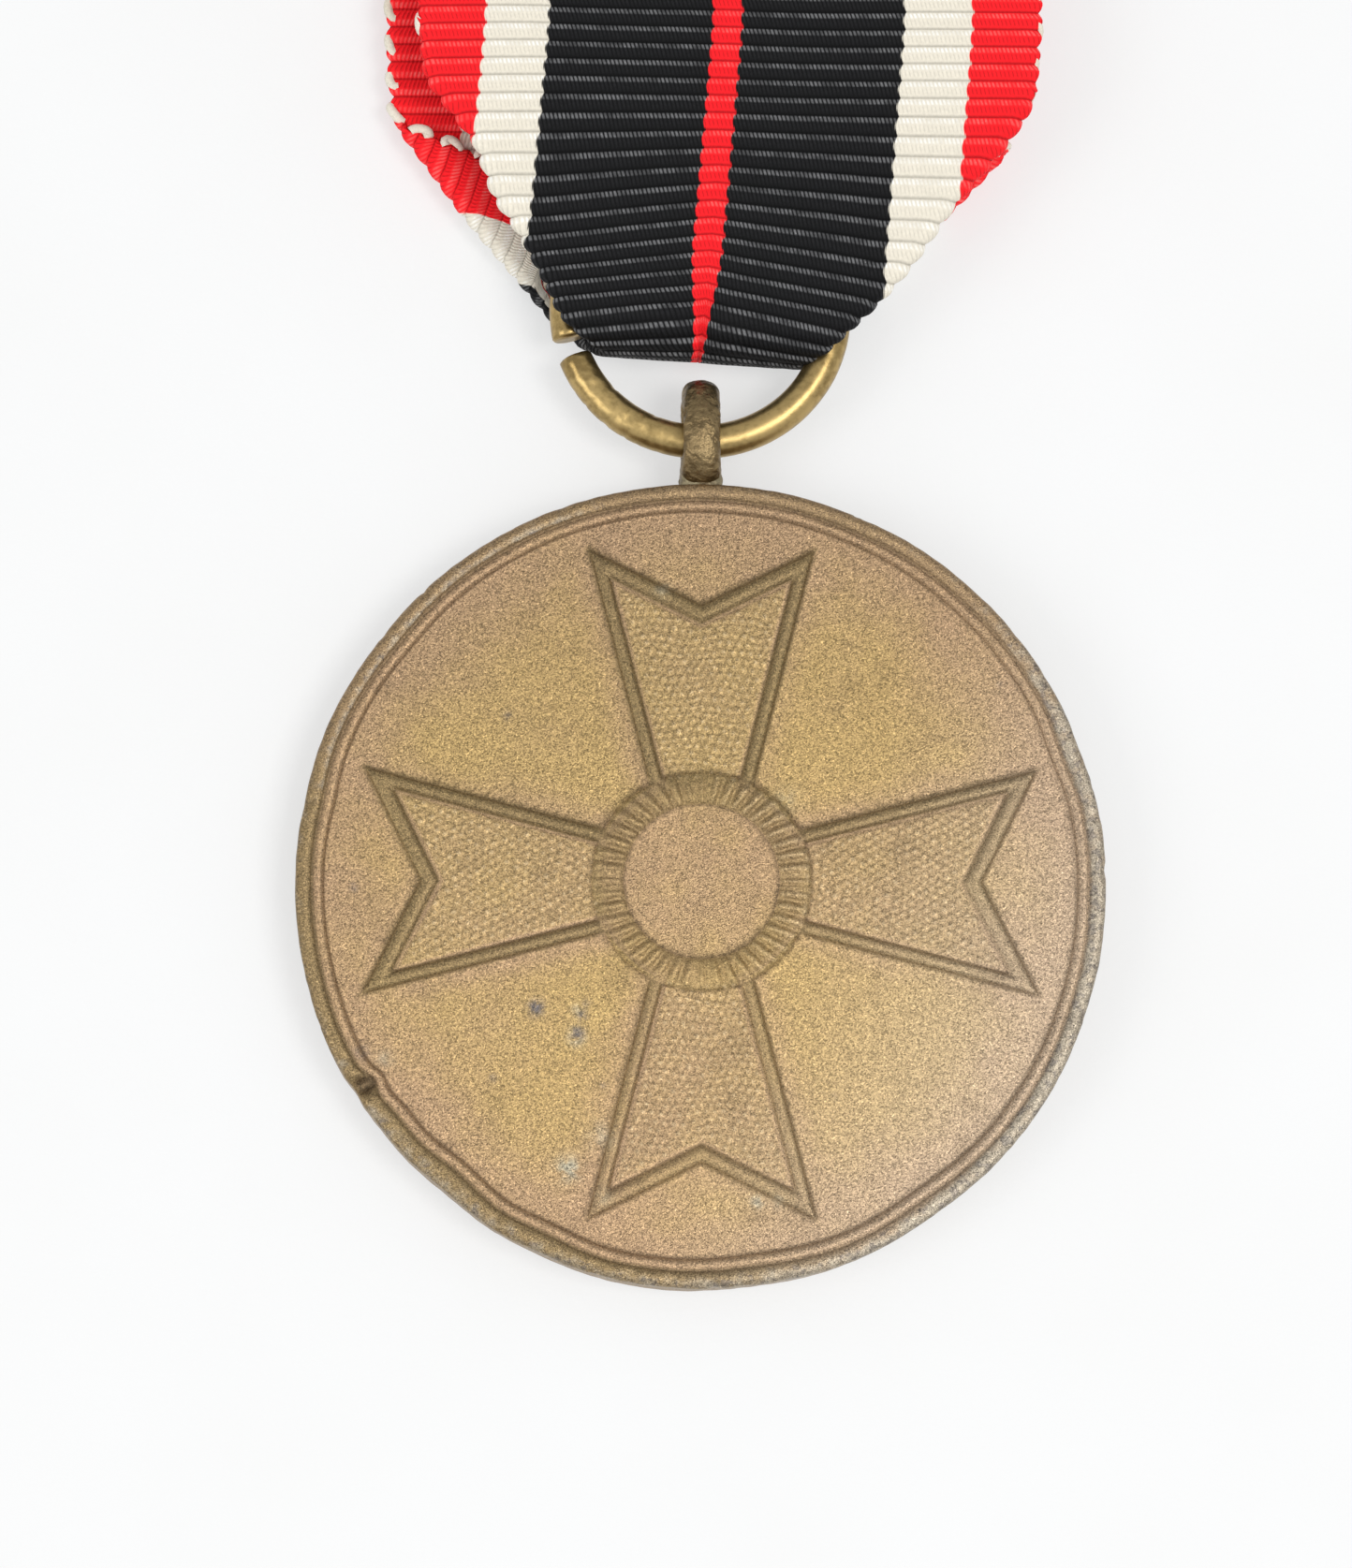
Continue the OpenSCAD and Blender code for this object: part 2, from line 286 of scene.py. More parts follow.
# ---------------------------------------------------------------- shader maths

class Graph:
    """One material's nodes."""

    def __init__(self, name: str) -> None:
        """Makes the material with a Principled shader and an output.

        Args:
            name: name of the material.
        """
        self.material = bpy.data.materials.new(name)
        self.material.use_nodes = True
        self.tree = self.material.node_tree
        self.shader = self.tree.nodes["Principled BSDF"]

    def add(self, kind: str, settings: dict | None = None, inputs: dict | None = None,
            output: int | str = 0) -> "Value":
        """Adds a node.

        Args:
            kind: the node's type.
            settings: its properties; "stops" fills a colour ramp.
            inputs: socket name or number to a value or a linked Value.
            output: which of its outputs is wanted.

        Returns:
            The output as a Value.
        """
        node = self.tree.nodes.new(kind)
        for key, value in (settings or {}).items():
            if key == "stops":
                self._fill_ramp(node.color_ramp, value)
            else:
                setattr(node, key, value)
        for key, value in (inputs or {}).items():
            self.join(node.inputs[key], value)
        return Value(self, node.outputs[output])

    @staticmethod
    def _fill_ramp(ramp: bpy.types.ColorRamp, stops: list) -> None:
        """Writes a ramp's stops, given as pairs of place and grey or colour.

        Args:
            ramp: the ramp.
            stops: its stops.
        """
        while len(ramp.elements) < len(stops):
            ramp.elements.new(1.0)
        for element, (place, colour) in zip(ramp.elements, stops):
            element.position = place
            rgb = (colour,) * 3 if isinstance(colour, (int, float)) else colour
            element.color = (*rgb, 1.0)

    def join(self, socket: bpy.types.NodeSocket, value: object) -> None:
        """Sets a socket to a constant, or links a Value to it.

        Args:
            socket: the input socket.
            value: a number, a colour or a Value.
        """
        if isinstance(value, Value):
            self.tree.links.new(value.socket, socket)
        elif isinstance(value, tuple) and socket.type == "RGBA":
            socket.default_value = (*value[:3], 1.0)
        else:
            socket.default_value = value

    def mix(self, factor: object, low: object, high: object) -> "Value":
        """Blends two colours: low where the factor is 0, high where it is 1."""
        return self.add("ShaderNodeMix", {"data_type": "RGBA"}, {0: factor, 6: low, 7: high}, 2)

    def tint(self, colour: object, grey: object) -> "Value":
        """Multiplies a colour by a number, channel by channel."""
        return self.add("ShaderNodeVectorMath", {"operation": "SCALE"}, {0: colour, "Scale": grey})

    def place(self) -> "Value":
        """Object coordinates in millimetres."""
        at = self.add("ShaderNodeTexCoord", output="Object")
        return self.add("ShaderNodeVectorMath", {"operation": "SCALE"}, {0: at, "Scale": 1 / MM})

    def noise(self, size: float, detail: float = 3.0, stretch: tuple | None = None,
              rough: float = 0.55) -> "Value":
        """Noise between 0 and 1.

        Args:
            size: size of its features in millimetres.
            detail: number of finer layers.
            stretch: factors on the three coordinates.
            rough: weight of the finer layers.

        Returns:
            The noise as a Value.
        """
        at = self.place()
        if stretch:
            at = self.add("ShaderNodeVectorMath", {"operation": "MULTIPLY"}, {0: at, 1: stretch})
        return self.add("ShaderNodeTexNoise", None,
                        {"Vector": at, "Scale": 1 / size, "Detail": detail, "Roughness": rough})

    def stored(self, name: str) -> "Value":
        """A number that the mesh stores per vertex."""
        return self.add("ShaderNodeAttribute", {"attribute_name": name}, output="Fac")

    def bump(self, height: "Value", depth: float) -> None:
        """Bends the normals by a height that is 1 at depth millimetres."""
        bent = self.add("ShaderNodeBump", None,
                        {"Height": height, "Distance": depth * MM, "Strength": 1.0})
        self.join(self.shader.inputs["Normal"], bent)

    def surface(self, **sockets: object) -> bpy.types.Material:
        """Fills the shader's sockets and returns the material.

        Args:
            sockets: socket names with _ for a space, and their values.

        Returns:
            The finished material.
        """
        for name, value in sockets.items():
            self.join(self.shader.inputs[name.replace("_", " ")], value)
        return self.material


@dataclass(frozen=True)
class Value:
    """One output of a node, with arithmetic that adds Math nodes."""

    graph: Graph
    socket: bpy.types.NodeSocket

    def math(self, operation: str, *others: object, first: bool = True) -> "Value":
        """Adds one Math node.

        Args:
            operation: what the node works out.
            others: its other terms.
            first: whether this value is the first term.

        Returns:
            The result.
        """
        terms = (self, *others) if first else (*others, self)
        return self.graph.add("ShaderNodeMath", {"operation": operation}, dict(enumerate(terms)))

    def __add__(self, other: object) -> "Value":
        """self + other"""
        return self.math("ADD", other)

    __radd__ = __add__

    def __mul__(self, other: object) -> "Value":
        """self * other"""
        return self.math("MULTIPLY", other)

    __rmul__ = __mul__

    def __sub__(self, other: object) -> "Value":
        """self - other"""
        return self.math("SUBTRACT", other)

    def __rsub__(self, other: object) -> "Value":
        """other - self"""
        return self.math("SUBTRACT", other, first=False)

    def __truediv__(self, other: object) -> "Value":
        """self / other"""
        return self.math("DIVIDE", other)

    def __abs__(self) -> "Value":
        """Distance from 0."""
        return self.math("ABSOLUTE")

    def fract(self) -> "Value":
        """The part after the point."""
        return self.math("FRACT")

    def sine(self) -> "Value":
        """Sine of the value in radians."""
        return self.math("SINE")

    def between(self, low: float, high: float) -> "Value":
        """A smooth step from 0 at low to 1 at high; low may be the larger.

        Args:
            low: where the step is 0.
            high: where it is 1.

        Returns:
            The step as a Value.
        """
        down = low > high
        ends = {"Value": self, "From Min": min(low, high), "From Max": max(low, high),
                "To Min": float(down), "To Max": float(not down)}
        return self.graph.add("ShaderNodeMapRange", {"interpolation_type": "SMOOTHSTEP"}, ends)

    def part(self, axis: str) -> "Value":
        """The X, Y or Z of a vector."""
        return self.graph.add("ShaderNodeSeparateXYZ", None, {0: self}, axis)

# ---------------------------------------------------------------- finishes

@dataclass(frozen=True)
class StruckBronze:
    """Patinated bronze of the disc, with the masks that its mesh stores.

    A _size is in millimetres, a _cover is the most of the surface that a colour takes, and a
    _light is how much of the brightness comes from one grain.
    """

    gold: tuple = (0.437, 0.303, 0.126)
    copper: tuple = (0.395, 0.262, 0.152)
    olive: tuple = (0.238, 0.17, 0.078)
    dirt: tuple = (0.12, 0.08, 0.045)
    wear_and_glint: tuple = (0.44, 0.385, 0.30)
    pale: tuple = (0.55, 0.42, 0.25)
    spot: tuple = (0.12, 0.11, 0.115)
    bloom: tuple = (0.40, 0.38, 0.29)
    sheen_colour: tuple = (0.47, 0.385, 0.30)
    cloud_size: float = 6.5
    patch_size: float = 1.4
    fine_size: float = 0.11
    speck_size: float = 0.055
    panel_cover: float = 0.1
    ridge_cover: float = 0.82
    highlight_cover: float = 0.42
    sheen_cover: float = 0.5
    sheen_ends: tuple = (3.0, 19.0)
    wear_glint_cover: float = 0.85
    soot_cover: float = 0.45
    bloom_cover: float = 0.8
    hollow_cover: float = 0.62
    pit_cover: float = 0.8
    smudge_cover: float = 0.22
    base_light: float = 0.35
    fine_light: float = 0.56
    speck_light: float = 0.58
    sparkle_light: float = 0.7
    shade_depth: float = 0.11
    shade_ends: tuple = (-8.0, 15.0)
    grain_depth: float = 0.03
    metallic: float = 0.8
    roughness: float = 0.4

    def build(self) -> bpy.types.Material:
        """Makes the material.

        Returns:
            The finished material.
        """
        g = Graph("struck_bronze")
        at = g.place()
        fine = g.noise(self.fine_size, 2, rough=0.7)
        speck = g.noise(self.speck_size, 1, rough=0.8)
        clouds = (g.noise(self.cloud_size, 4) - 0.5) * 1.5
        patches = (g.noise(self.patch_size, 4) - 0.5) * 0.7
        ridge, top, wear_and_glint = g.stored("ridge"), g.stored("top"), g.stored("wear_and_glint")
        hollow, bloom, spot = g.stored("hollow"), g.stored("bloom"), g.stored("spot")
        # wear: the worn grey metal of the edge, and the painted highlight along the rim's lip
        wear = (wear_and_glint + (g.noise(0.6, 4) - 0.5) * 1.1).between(0.25, 0.9)
        soot = (wear_and_glint * g.noise(0.35, 4).between(0.5, 0.62)).between(0.2, 0.5)
        # painted sheen: lighter and greyer towards the lower right
        painted_sheen = (at.part("X") - at.part("Y") * 0.5).between(*self.sheen_ends)
        coats = (
            ((g.stored("gild") + clouds + patches).between(-0.15, 1.25), self.gold),
            (g.stored("panel") * self.panel_cover, self.pale),
            ((ridge + (fine - 0.5) * 0.6).between(0.1, 0.95) * self.ridge_cover, self.olive),
            # painted highlight: paler tops of the pebbles and of the wreath's leaves
            ((top * (fine + 0.35)).between(0.2, 0.9) * self.highlight_cover, self.pale),
            (painted_sheen * self.sheen_cover, self.sheen_colour),
            (wear * self.wear_glint_cover, self.wear_and_glint),
            (soot * self.soot_cover, self.spot),
            (bloom * g.noise(0.5, 3).between(0.3, 0.6) * self.bloom_cover, self.bloom),
            (spot * g.noise(0.3, 3).between(0.3, 0.55), self.spot),
            ((hollow + (fine - 0.5) * 0.4).between(0.15, 0.95) * self.hollow_cover, self.dirt),
            (g.stored("pit").between(0.15, 0.7) * self.pit_cover, self.dirt),
            (g.noise(2.4, 5).between(0.56, 0.72) * self.smudge_cover, self.dirt),
        )
        colour = self.copper
        for cover, ink in coats:
            colour = g.mix(cover, colour, ink)
        sparkle = g.noise(0.07, 0).between(0.69, 0.78)
        grain = fine.between(0.28, 0.72) * self.fine_light + speck.between(0.26, 0.74) * self.speck_light
        shade = 1.0 - at.part("Y").between(*self.shade_ends) * self.shade_depth
        colour = g.tint(colour, (self.base_light + grain + sparkle * self.sparkle_light) * shade)
        g.bump(fine * 0.5 + speck * 0.5 + g.noise(0.5, 3) * 0.35, self.grain_depth)
        rough = self.roughness + (speck - 0.5) * 0.3 + hollow * 0.15 + wear * 0.05
        return g.surface(Base_Color=colour, Metallic=self.metallic, Roughness=rough)


@dataclass(frozen=True)
class TarnishedBrass:
    """Brass that has darkened unevenly: wire, sheet or a rough casting."""

    name: str
    bright: tuple
    dark: tuple
    patch: float = 1.6
    bumps: float = 0.02
    grain: float = 0.25
    roughness: float = 0.3
    stretch: tuple = (1.0, 1.0, 1.0)
    stain: tuple = (0.36, 0.2, 0.1)
    stain_cover: float = 0.35
    metallic: float = 0.95

    def build(self) -> bpy.types.Material:
        """Makes the material.

        Returns:
            The finished material.
        """
        g = Graph(self.name)
        patches = g.noise(self.patch, 4, self.stretch)
        fine = g.noise(self.grain, 4, self.stretch)
        stain = g.noise(self.patch * 2.4, 2).between(0.6, 0.75) * self.stain_cover
        colour = g.mix((patches * 0.6 + fine * 0.4).between(0.36, 0.6), self.dark, self.bright)
        g.bump(fine, self.bumps)
        rough = self.roughness + (patches - 0.5) * 0.3 + fine * 0.08
        return g.surface(Base_Color=g.mix(stain, colour, self.stain), Metallic=self.metallic,
                         Roughness=rough)


@dataclass(frozen=True)
class DrawnSteel:
    """Old steel wire with faint drawing lines and a few rust stains."""

    dark: tuple = (0.36, 0.35, 0.33)
    bright: tuple = (0.6, 0.59, 0.56)
    rust: tuple = (0.2, 0.1, 0.05)
    along: tuple = (0.05, 1.0, 1.0)

    def build(self) -> bpy.types.Material:
        """Makes the material.

        Returns:
            The finished material.
        """
        g = Graph("drawn_steel")
        lines = g.noise(0.12, 3, self.along)
        rust = g.noise(0.9, 5).between(0.6, 0.7)
        colour = g.mix(rust * 0.6, g.mix(lines, self.dark, self.bright), self.rust)
        g.bump(lines, 0.01)
        return g.surface(Base_Color=colour, Metallic=0.95, Roughness=0.25 + rust * 0.4)


@dataclass(frozen=True)
class Thread:
    """Cream thread, a little soiled."""

    name: str = "cream_thread"
    colour: tuple = (0.72, 0.67, 0.54)
    soiled: tuple = (0.5, 0.43, 0.3)

    def build(self) -> bpy.types.Material:
        """Makes the material.

        Returns:
            The finished material.
        """
        g = Graph(self.name)
        fuzz = g.noise(0.08, 4)
        soil = g.noise(3.0, 3).between(0.45, 0.7) * 0.4
        colour = g.tint(g.mix(soil, self.colour, self.soiled), 0.75 + fuzz * 0.5)
        g.bump(fuzz, 0.03)
        return g.surface(Base_Color=colour, Roughness=0.7 + fuzz * 0.1, Sheen_Weight=0.3)


@dataclass(frozen=True)
class StripedRibbon:
    """Ribbed silk in five stripes with a centre stripe; reads the strip map."""

    width: float
    length: float
    rib: float
    edges: tuple
    black: tuple = (0.0025, 0.0026, 0.003)
    white: tuple = (0.72, 0.67, 0.565)
    red: tuple = (0.86, 0.012, 0.018)
    lit: tuple = (1.0, 0.99, 0.95)
    lit_red: tuple = (1.0, 0.17, 0.16)
    lit_black: tuple = (0.2, 0.2, 0.205)
    cord_sheen_on_black: tuple = (0.06, 0.06, 0.064)
    glint_speck: tuple = (0.5, 0.5, 0.5)
    warp: float = 0.17
    blur: float = 0.03

    def past(self, edge: Value, number: int) -> Value:
        """1 beyond one of the stripes' edges, 0 before it."""
        return edge.between(self.edges[number] - self.blur, self.edges[number] + self.blur)

    def short_of(self, edge: Value, number: int) -> Value:
        """1 before one of the stripes' edges, 0 beyond it."""
        return edge.between(self.edges[number] + self.blur, self.edges[number] - self.blur)

    def build(self) -> bpy.types.Material:
        """Makes the material.

        Returns:
            The finished material.
        """
        g = Graph("striped_ribbon")
        strip = g.add("ShaderNodeUVMap", {"uv_map": "strip"})
        across = strip.part("X") * self.width - self.width / 2
        along = strip.part("Y") * self.length
        phase = (along / self.rib).fract()
        swell = (phase * math.pi).sine()
        thread = (across / self.warp).fract()
        cord = abs(((across + along * 0.35) / self.warp).fract() - 0.5) * 2
        fuzz = g.noise(0.12, 3)
        edge = across + (swell - 0.5) * 0.13 + (thread - 0.5) * 0.05
        colour = self.red
        inks = (self.white, self.black, self.red, self.black, self.white, self.red)
        for number, ink in enumerate(inks):
            colour = g.mix(self.past(edge, number), colour, ink)
        dark = self.past(edge, 1) * self.short_of(edge, 2) + self.past(edge, 3) * self.short_of(edge, 4)
        centre = self.past(edge, 2) * self.short_of(edge, 3)
        red = centre + self.short_of(edge, 0) + self.past(edge, 5)
        band = phase.between(0.56, 0.7) * phase.between(0.97, 0.84)
        band = band * (0.45 + g.noise(0.7, 3).between(0.35, 0.65) * 0.75)
        line = band * (cord + (fuzz - 0.5) * 0.5).between(0.95, 0.2)
        lit = g.mix(red, g.mix(0.97, colour, self.lit), self.lit_red)
        lit = g.mix(dark, lit, self.lit_black)
        # painted shade in the grooves between the ribs, darkest on the black and the red
        hollow = phase.between(0.16, 0.0) + phase.between(0.93, 1.0)
        dots = cord.between(0.45, 1.0) * phase.between(0.12, 0.3) * phase.between(0.62, 0.45)
        grey = 0.88 + fuzz * 0.28 - hollow * (0.34 + dark * 0.3 + red * 0.16) - dots * (0.2 + red * 0.25)
        coats = (
            (line * (fuzz * 0.9 + 0.3 - red * 0.2), lit),
            # the cords' slant in faint grey on the black ribs' crests: woven pattern with painted sheen
            (dark * swell * cord.between(0.9, 0.3) * 0.3 * fuzz, self.cord_sheen_on_black),
            # painted glints: grey specks within the highlight lines
            (g.noise(0.06, 1).between(0.72, 0.8) * line * 0.8, self.glint_speck),
        )
        # painted highlight: the ribs' crests a little lighter
        colour = g.tint(colour, grey + swell * 0.08)
        for cover, ink in coats:
            colour = g.mix(cover, colour, ink)
        g.bump(cord * 0.5 + swell * 0.3 + fuzz * 0.35, 0.06)
        return g.surface(Base_Color=colour, Roughness=0.55 + fuzz * 0.15, Specular_IOR_Level=0.12)


@dataclass(frozen=True)
class Tabletop:
    """Pale matt surface that the medal lies on, half lit from within."""

    colour: tuple = (0.83, 0.835, 0.84)
    cloudy: tuple = (0.80, 0.80, 0.795)
    lit_share: float = 0.42
    glow: float = 0.66

    def build(self) -> bpy.types.Material:
        """Makes the material.

        Returns:
            The finished material.
        """
        g = Graph("tabletop")
        colour = g.tint(g.mix(g.noise(14.0, 3), self.colour, self.cloudy), 1.0)
        g.bump(g.noise(0.6, 4), 0.02)
        return g.surface(Base_Color=g.tint(colour, self.lit_share), Roughness=0.75,
                         Specular_IOR_Level=0.15, Emission_Color=colour, Emission_Strength=self.glow)


# ---------------------------------------------------------------- the disc

@dataclass(frozen=True)
class Dent:
    """A place on the rim that a knock has pushed inward; angle and spread in degrees."""

    angle: float
    spread: float
    depth: float


@dataclass
class MedalDisc:
    """The struck disc: rim, cross, wreath, pebbled arms, and the wear of its edge.

    A profile or mask is a row of (place, value) knots. The rim's and the groove's count
    millimetres in from the edge, the border's count border widths in from an arm's outline.
    """

    segments: int = 600
    rim_profile: tuple = ((0.0, -0.2), (0.05, -0.09), (0.13, -0.02), (0.28, 0.02), (0.44, 0.0),
                          (0.54, -0.04), (0.61, -0.1), (0.66, -0.17), (0.72, -0.15), (0.79, -0.12),
                          (0.88, -0.11), (0.98, -0.13), (1.06, -0.18), (1.13, -0.27), (1.18, -0.33),
                          (1.28, -0.335), (1.5, -0.34))
    groove_mask: tuple = ((0.54, 0.0), (0.63, 0.75), (0.69, 1.0), (0.77, 0.4), (0.86, 0.0),
                          (1.04, 0.0), (1.13, 0.6), (1.21, 0.55), (1.4, 0.0))
    wall_levels: tuple = (0.9, 0.78, 0.62, 0.45, 0.3, 0.18, 0.1)
    wall_foot: tuple = ((0.02, 0.1), (0.06, 0.03), (0.14, 0.0))
    relief_depth: float = 0.34
    tip_reach: float = 13.6
    tip_half: float = 4.62
    notch_reach: float = 11.3
    base_reach: float = 4.27
    base_half: float = 2.2
    side_border: float = 0.62
    notch_border: float = 0.74
    border_profile: tuple = ((-0.12, 0.0), (0.0, 0.0), (0.09, 0.09), (0.2, 0.165), (0.42, 0.205),
                             (0.66, 0.2), (0.8, 0.155), (0.91, 0.075), (1.0, 0.02), (1.14, 0.035),
                             (1.3, 0.045))
    ridge_mask: tuple = ((-0.15, 0.0), (0.0, 0.6), (0.15, 1.0), (0.9, 1.0), (1.0, 0.5), (1.1, 0.0))
    hollow_mask: tuple = ((-0.24, 0.0), (-0.03, 0.7), (0.05, 0.6), (0.12, 0.0), (0.93, 0.0),
                          (1.0, 0.8), (1.08, 0.0))
    panel_from: tuple = (1.02, 1.3)
    wreath_mid: float = 3.78
    wreath_half: float = 0.68
    wreath_height: float = 0.34
    wreath_ribs: int = 44
    leaf_floor: float = 0.55
    leaf_lean: float = 1.62
    ties: int = 4
    tie_ribs: int = 84
    centre_height: float = 0.1
    pebble_pitch: float = 0.37
    pebble_height: float = 0.062
    panel_ends: tuple = (4.3, 13.2)
    panel_half: float = 4.2
    line_step: float = 0.13
    ring_step: float = 0.075
    field_step: float = 0.2
    outline_clear: float = 0.035
    panel_clear: float = 0.06
    fill_clear: float = 0.13
    tablet_radius: float = 10.0
    tablet_rings: tuple = (9.4, 8.4, 7.2, 6.0, 4.8, 3.6, 2.4, 1.2)
    garland_mid: float = 12.3
    garland_half: float = 1.3
    garland_height: float = 0.24
    garland_leaves: int = 90
    garland_leaf_depth: float = 0.05
    dents: tuple = (Dent(211.5, 1.8, 0.2), Dent(218.0, 5.0, 0.24), Dent(230.0, 8.0, 0.42),
                    Dent(246.0, 7.0, 0.22), Dent(278.0, 9.0, 0.12), Dent(305.0, 8.0, 0.15),
                    Dent(20.0, 5.0, 0.12), Dent(140.0, 7.0, 0.1), Dent(168.0, 5.0, 0.1))
    dent_from: tuple = (13.9, 15.1)
    edge_from: tuple = (15.5, 16.2)
    nick_angle: float = 211.5
    nick_depth: float = 0.42
    knocks: int = 150
    knock_size: tuple = (0.07, 0.26)
    knock_depth: tuple = (0.015, 0.075)
    knock_push: tuple = (0.2, 1.1)
    dark_spots: tuple = ((-6.6, -5.1, 0.32, 1.2), (-7.8, 6.7, 0.16, 0.7), (-13.9, -0.3, 0.14, 0.8),
                         (-8.3, -7.9, 0.16, 0.6), (12.1, 8.1, 0.12, 0.5), (-4.95, -6.1, 0.26, 1.2),
                         (-4.75, -5.4, 0.2, 0.9), (-4.6, -4.9, 0.14, 0.7), (5.3, -8.6, 0.1, 0.5),
                         (-3.9, -8.2, 0.12, 0.5), (-13.5, -6.9, 0.3, 0.5))
    pale_blooms: tuple = ((-4.95, -5.2, 0.2, 1.0), (-5.0, -6.3, 0.3, 1.0), (-5.3, -11.5, 0.42, 1.4),
                          (-4.0, -10.2, 0.5, 0.5), (2.2, -12.8, 0.25, 1.0), (3.0, -12.8, 0.2, 0.8),
                          (-1.6, 11.9, 0.3, 0.5), (-3.9, -12.6, 0.3, 0.4), (3.4, 3.3, 0.5, 0.35),
                          (-12.6, -7.2, 0.3, 0.6))
    box: Box = box_of("medal_disc")

    @property
    def radius(self) -> float:
        """Radius of the disc."""
        return self.box.size[0] / 2

    @property
    def top(self) -> float:
        """Height of the obverse rim."""
        return self.box.hi[2]

    @property
    def side_slope(self) -> float:
        """How fast an arm widens with the distance from the centre."""
        return (self.tip_half - self.base_half) / (self.tip_reach - self.base_reach)

    @property
    def notch_slope(self) -> float:
        """How fast an arm's notched end moves outward with the distance from its axis."""
        return (self.tip_reach - self.notch_reach) / self.tip_half

    def arm_point(self, t: float) -> tuple:
        """Corners of an arm's outline moved in towards its panel.

        Args:
            t: how far the outline is moved in, counted in border widths.

        Returns:
            The tip's two coordinates, the notch's reach and the half width at the base.
        """
        slope, rise = self.side_slope, self.notch_slope
        base = self.base_half - t * self.side_border / math.cos(math.atan(slope))
        notch = self.notch_reach - t * self.notch_border / math.cos(math.atan(rise))
        along = (notch + rise * (base - slope * self.base_reach)) / (1 - rise * slope)
        return along, base + slope * (along - self.base_reach), notch, base

    def border_depth(self, along: np.ndarray, across: np.ndarray) -> np.ndarray:
        """How far inside an arm's outline points lie, counted in border widths.

        Args:
            along: distance from the centre along the arm.
            across: distance from the arm's axis, not negative.

        Returns:
            One number per point, negative outside.
        """
        slope, rise = self.side_slope, self.notch_slope
        side = self.base_half + slope * (along - self.base_reach) - across
        notch = self.notch_reach + rise * across - along
        return np.minimum(side * math.cos(math.atan(slope)) / self.side_border,
                          notch * math.cos(math.atan(rise)) / self.notch_border)

    def pebbles(self, along: np.ndarray, across: np.ndarray) -> np.ndarray:
        """Domes of 0 to 1 in slightly wavy rows across an arm.

        Args:
            along: distance from the centre along the arm.
            across: signed distance from the arm's axis.

        Returns:
            Height of the domes, one per point.
        """
        a = along + 0.10 * np.sin(across * 1.9 + along * 0.7) + 0.07 * ripple(along, across, 1.4, 3)
        c = across + 0.05 * ripple(along, across, 1.4, 4)
        wave = 4 * math.pi / (math.sqrt(3) * self.pebble_pitch)
        total = sum(np.cos(wave * (a * math.sin(k) + c * math.cos(k)))
                    for k in (math.pi / 2, math.pi * 7 / 6, math.pi * 11 / 6))
        dome = np.clip((total + 1.5) / 4.5, 0, 1) ** 0.75
        return dome * (0.85 + 0.22 * ripple(along, across, 0.8, 5))

    def wreath(self, x: np.ndarray, y: np.ndarray) -> tuple:
        """The tied wreath of leaves round the centre.

        Args:
            x: across the face.
            y: up the face.

        Returns:
            Its height, where it is, its leaves from 0 in a gap to 1 on a crest, and its foot.
        """
        r, turn = np.hypot(x, y), np.arctan2(y, x)
        u = (r - self.wreath_mid) / self.wreath_half
        band = np.sqrt(np.clip(1 - u * u, 0, 1))
        leaf = 0.5 + 0.5 * np.cos(self.wreath_ribs * turn + self.leaf_lean * np.sin(turn * 2) * u)
        tie = ease(np.cos(turn * self.ties), 0.93, 0.975)
        leaf = leaf * (1 - tie) + (0.5 + 0.5 * np.cos(turn * self.tie_ribs)) * tie
        lumps = self.leaf_floor + (1 - self.leaf_floor) * leaf ** 0.7 + 0.05 * ripple(x, y, 0.35, 8)
        foot = ease(band, 0.45, 0.05) * ease(abs(u), 1.25, 1.0)
        return self.wreath_height * band ** 0.65 * lumps, ease(band, 0.1, 0.5), leaf, foot

    def obverse(self, x: np.ndarray, y: np.ndarray) -> tuple:
        """Relief of the obverse.

        Args:
            x: across the face.
            y: up the face.

        Returns:
            Height below the rim, and a dictionary of masks for the finish.
        """
        r = np.hypot(x, y)
        from_edge = self.radius - r
        along, across = np.maximum(abs(x), abs(y)), np.minimum(abs(x), abs(y))
        signed = np.where(abs(x) > abs(y), y * np.sign(x), -x * np.sign(y))
        t = self.border_depth(along, across)
        inside, pebble = ease(t, *self.panel_from), self.pebbles(along, signed)
        height, on_wreath, leaf, foot = self.wreath(x, y)
        outside = ease(r, self.wreath_mid, self.wreath_mid + self.wreath_half)
        cross = profile(t, self.border_profile) + inside * self.pebble_height * pebble
        centre = ease(self.wreath_mid - r, 0, 0.5) * self.centre_height
        rim = profile(from_edge, self.rim_profile) + self.relief_depth
        relief = np.maximum.reduce([cross * outside, centre, height, rim]) - self.relief_depth
        panel = inside * outside
        ridge = np.maximum(profile(t, self.ridge_mask) * outside, on_wreath)
        hollow = np.maximum.reduce([profile(t, self.hollow_mask) * outside, foot,
                                    on_wreath * (1 - leaf) * 0.5])
        ridge_lit = (1 - 0.45 * on_wreath) * (0.5 + 0.5 * ease(y - 0.4 * x, -9, 6))
        rim_dark = 0.42 + 0.12 * ease(y - x, -4, 12) + 0.45 * ease(-x - y, 7, 17)
        rubbed = ease(from_edge, 0.4, 5.5) * ease(-t, -1.6, 2.6) * (r > self.wreath_mid + 0.5)
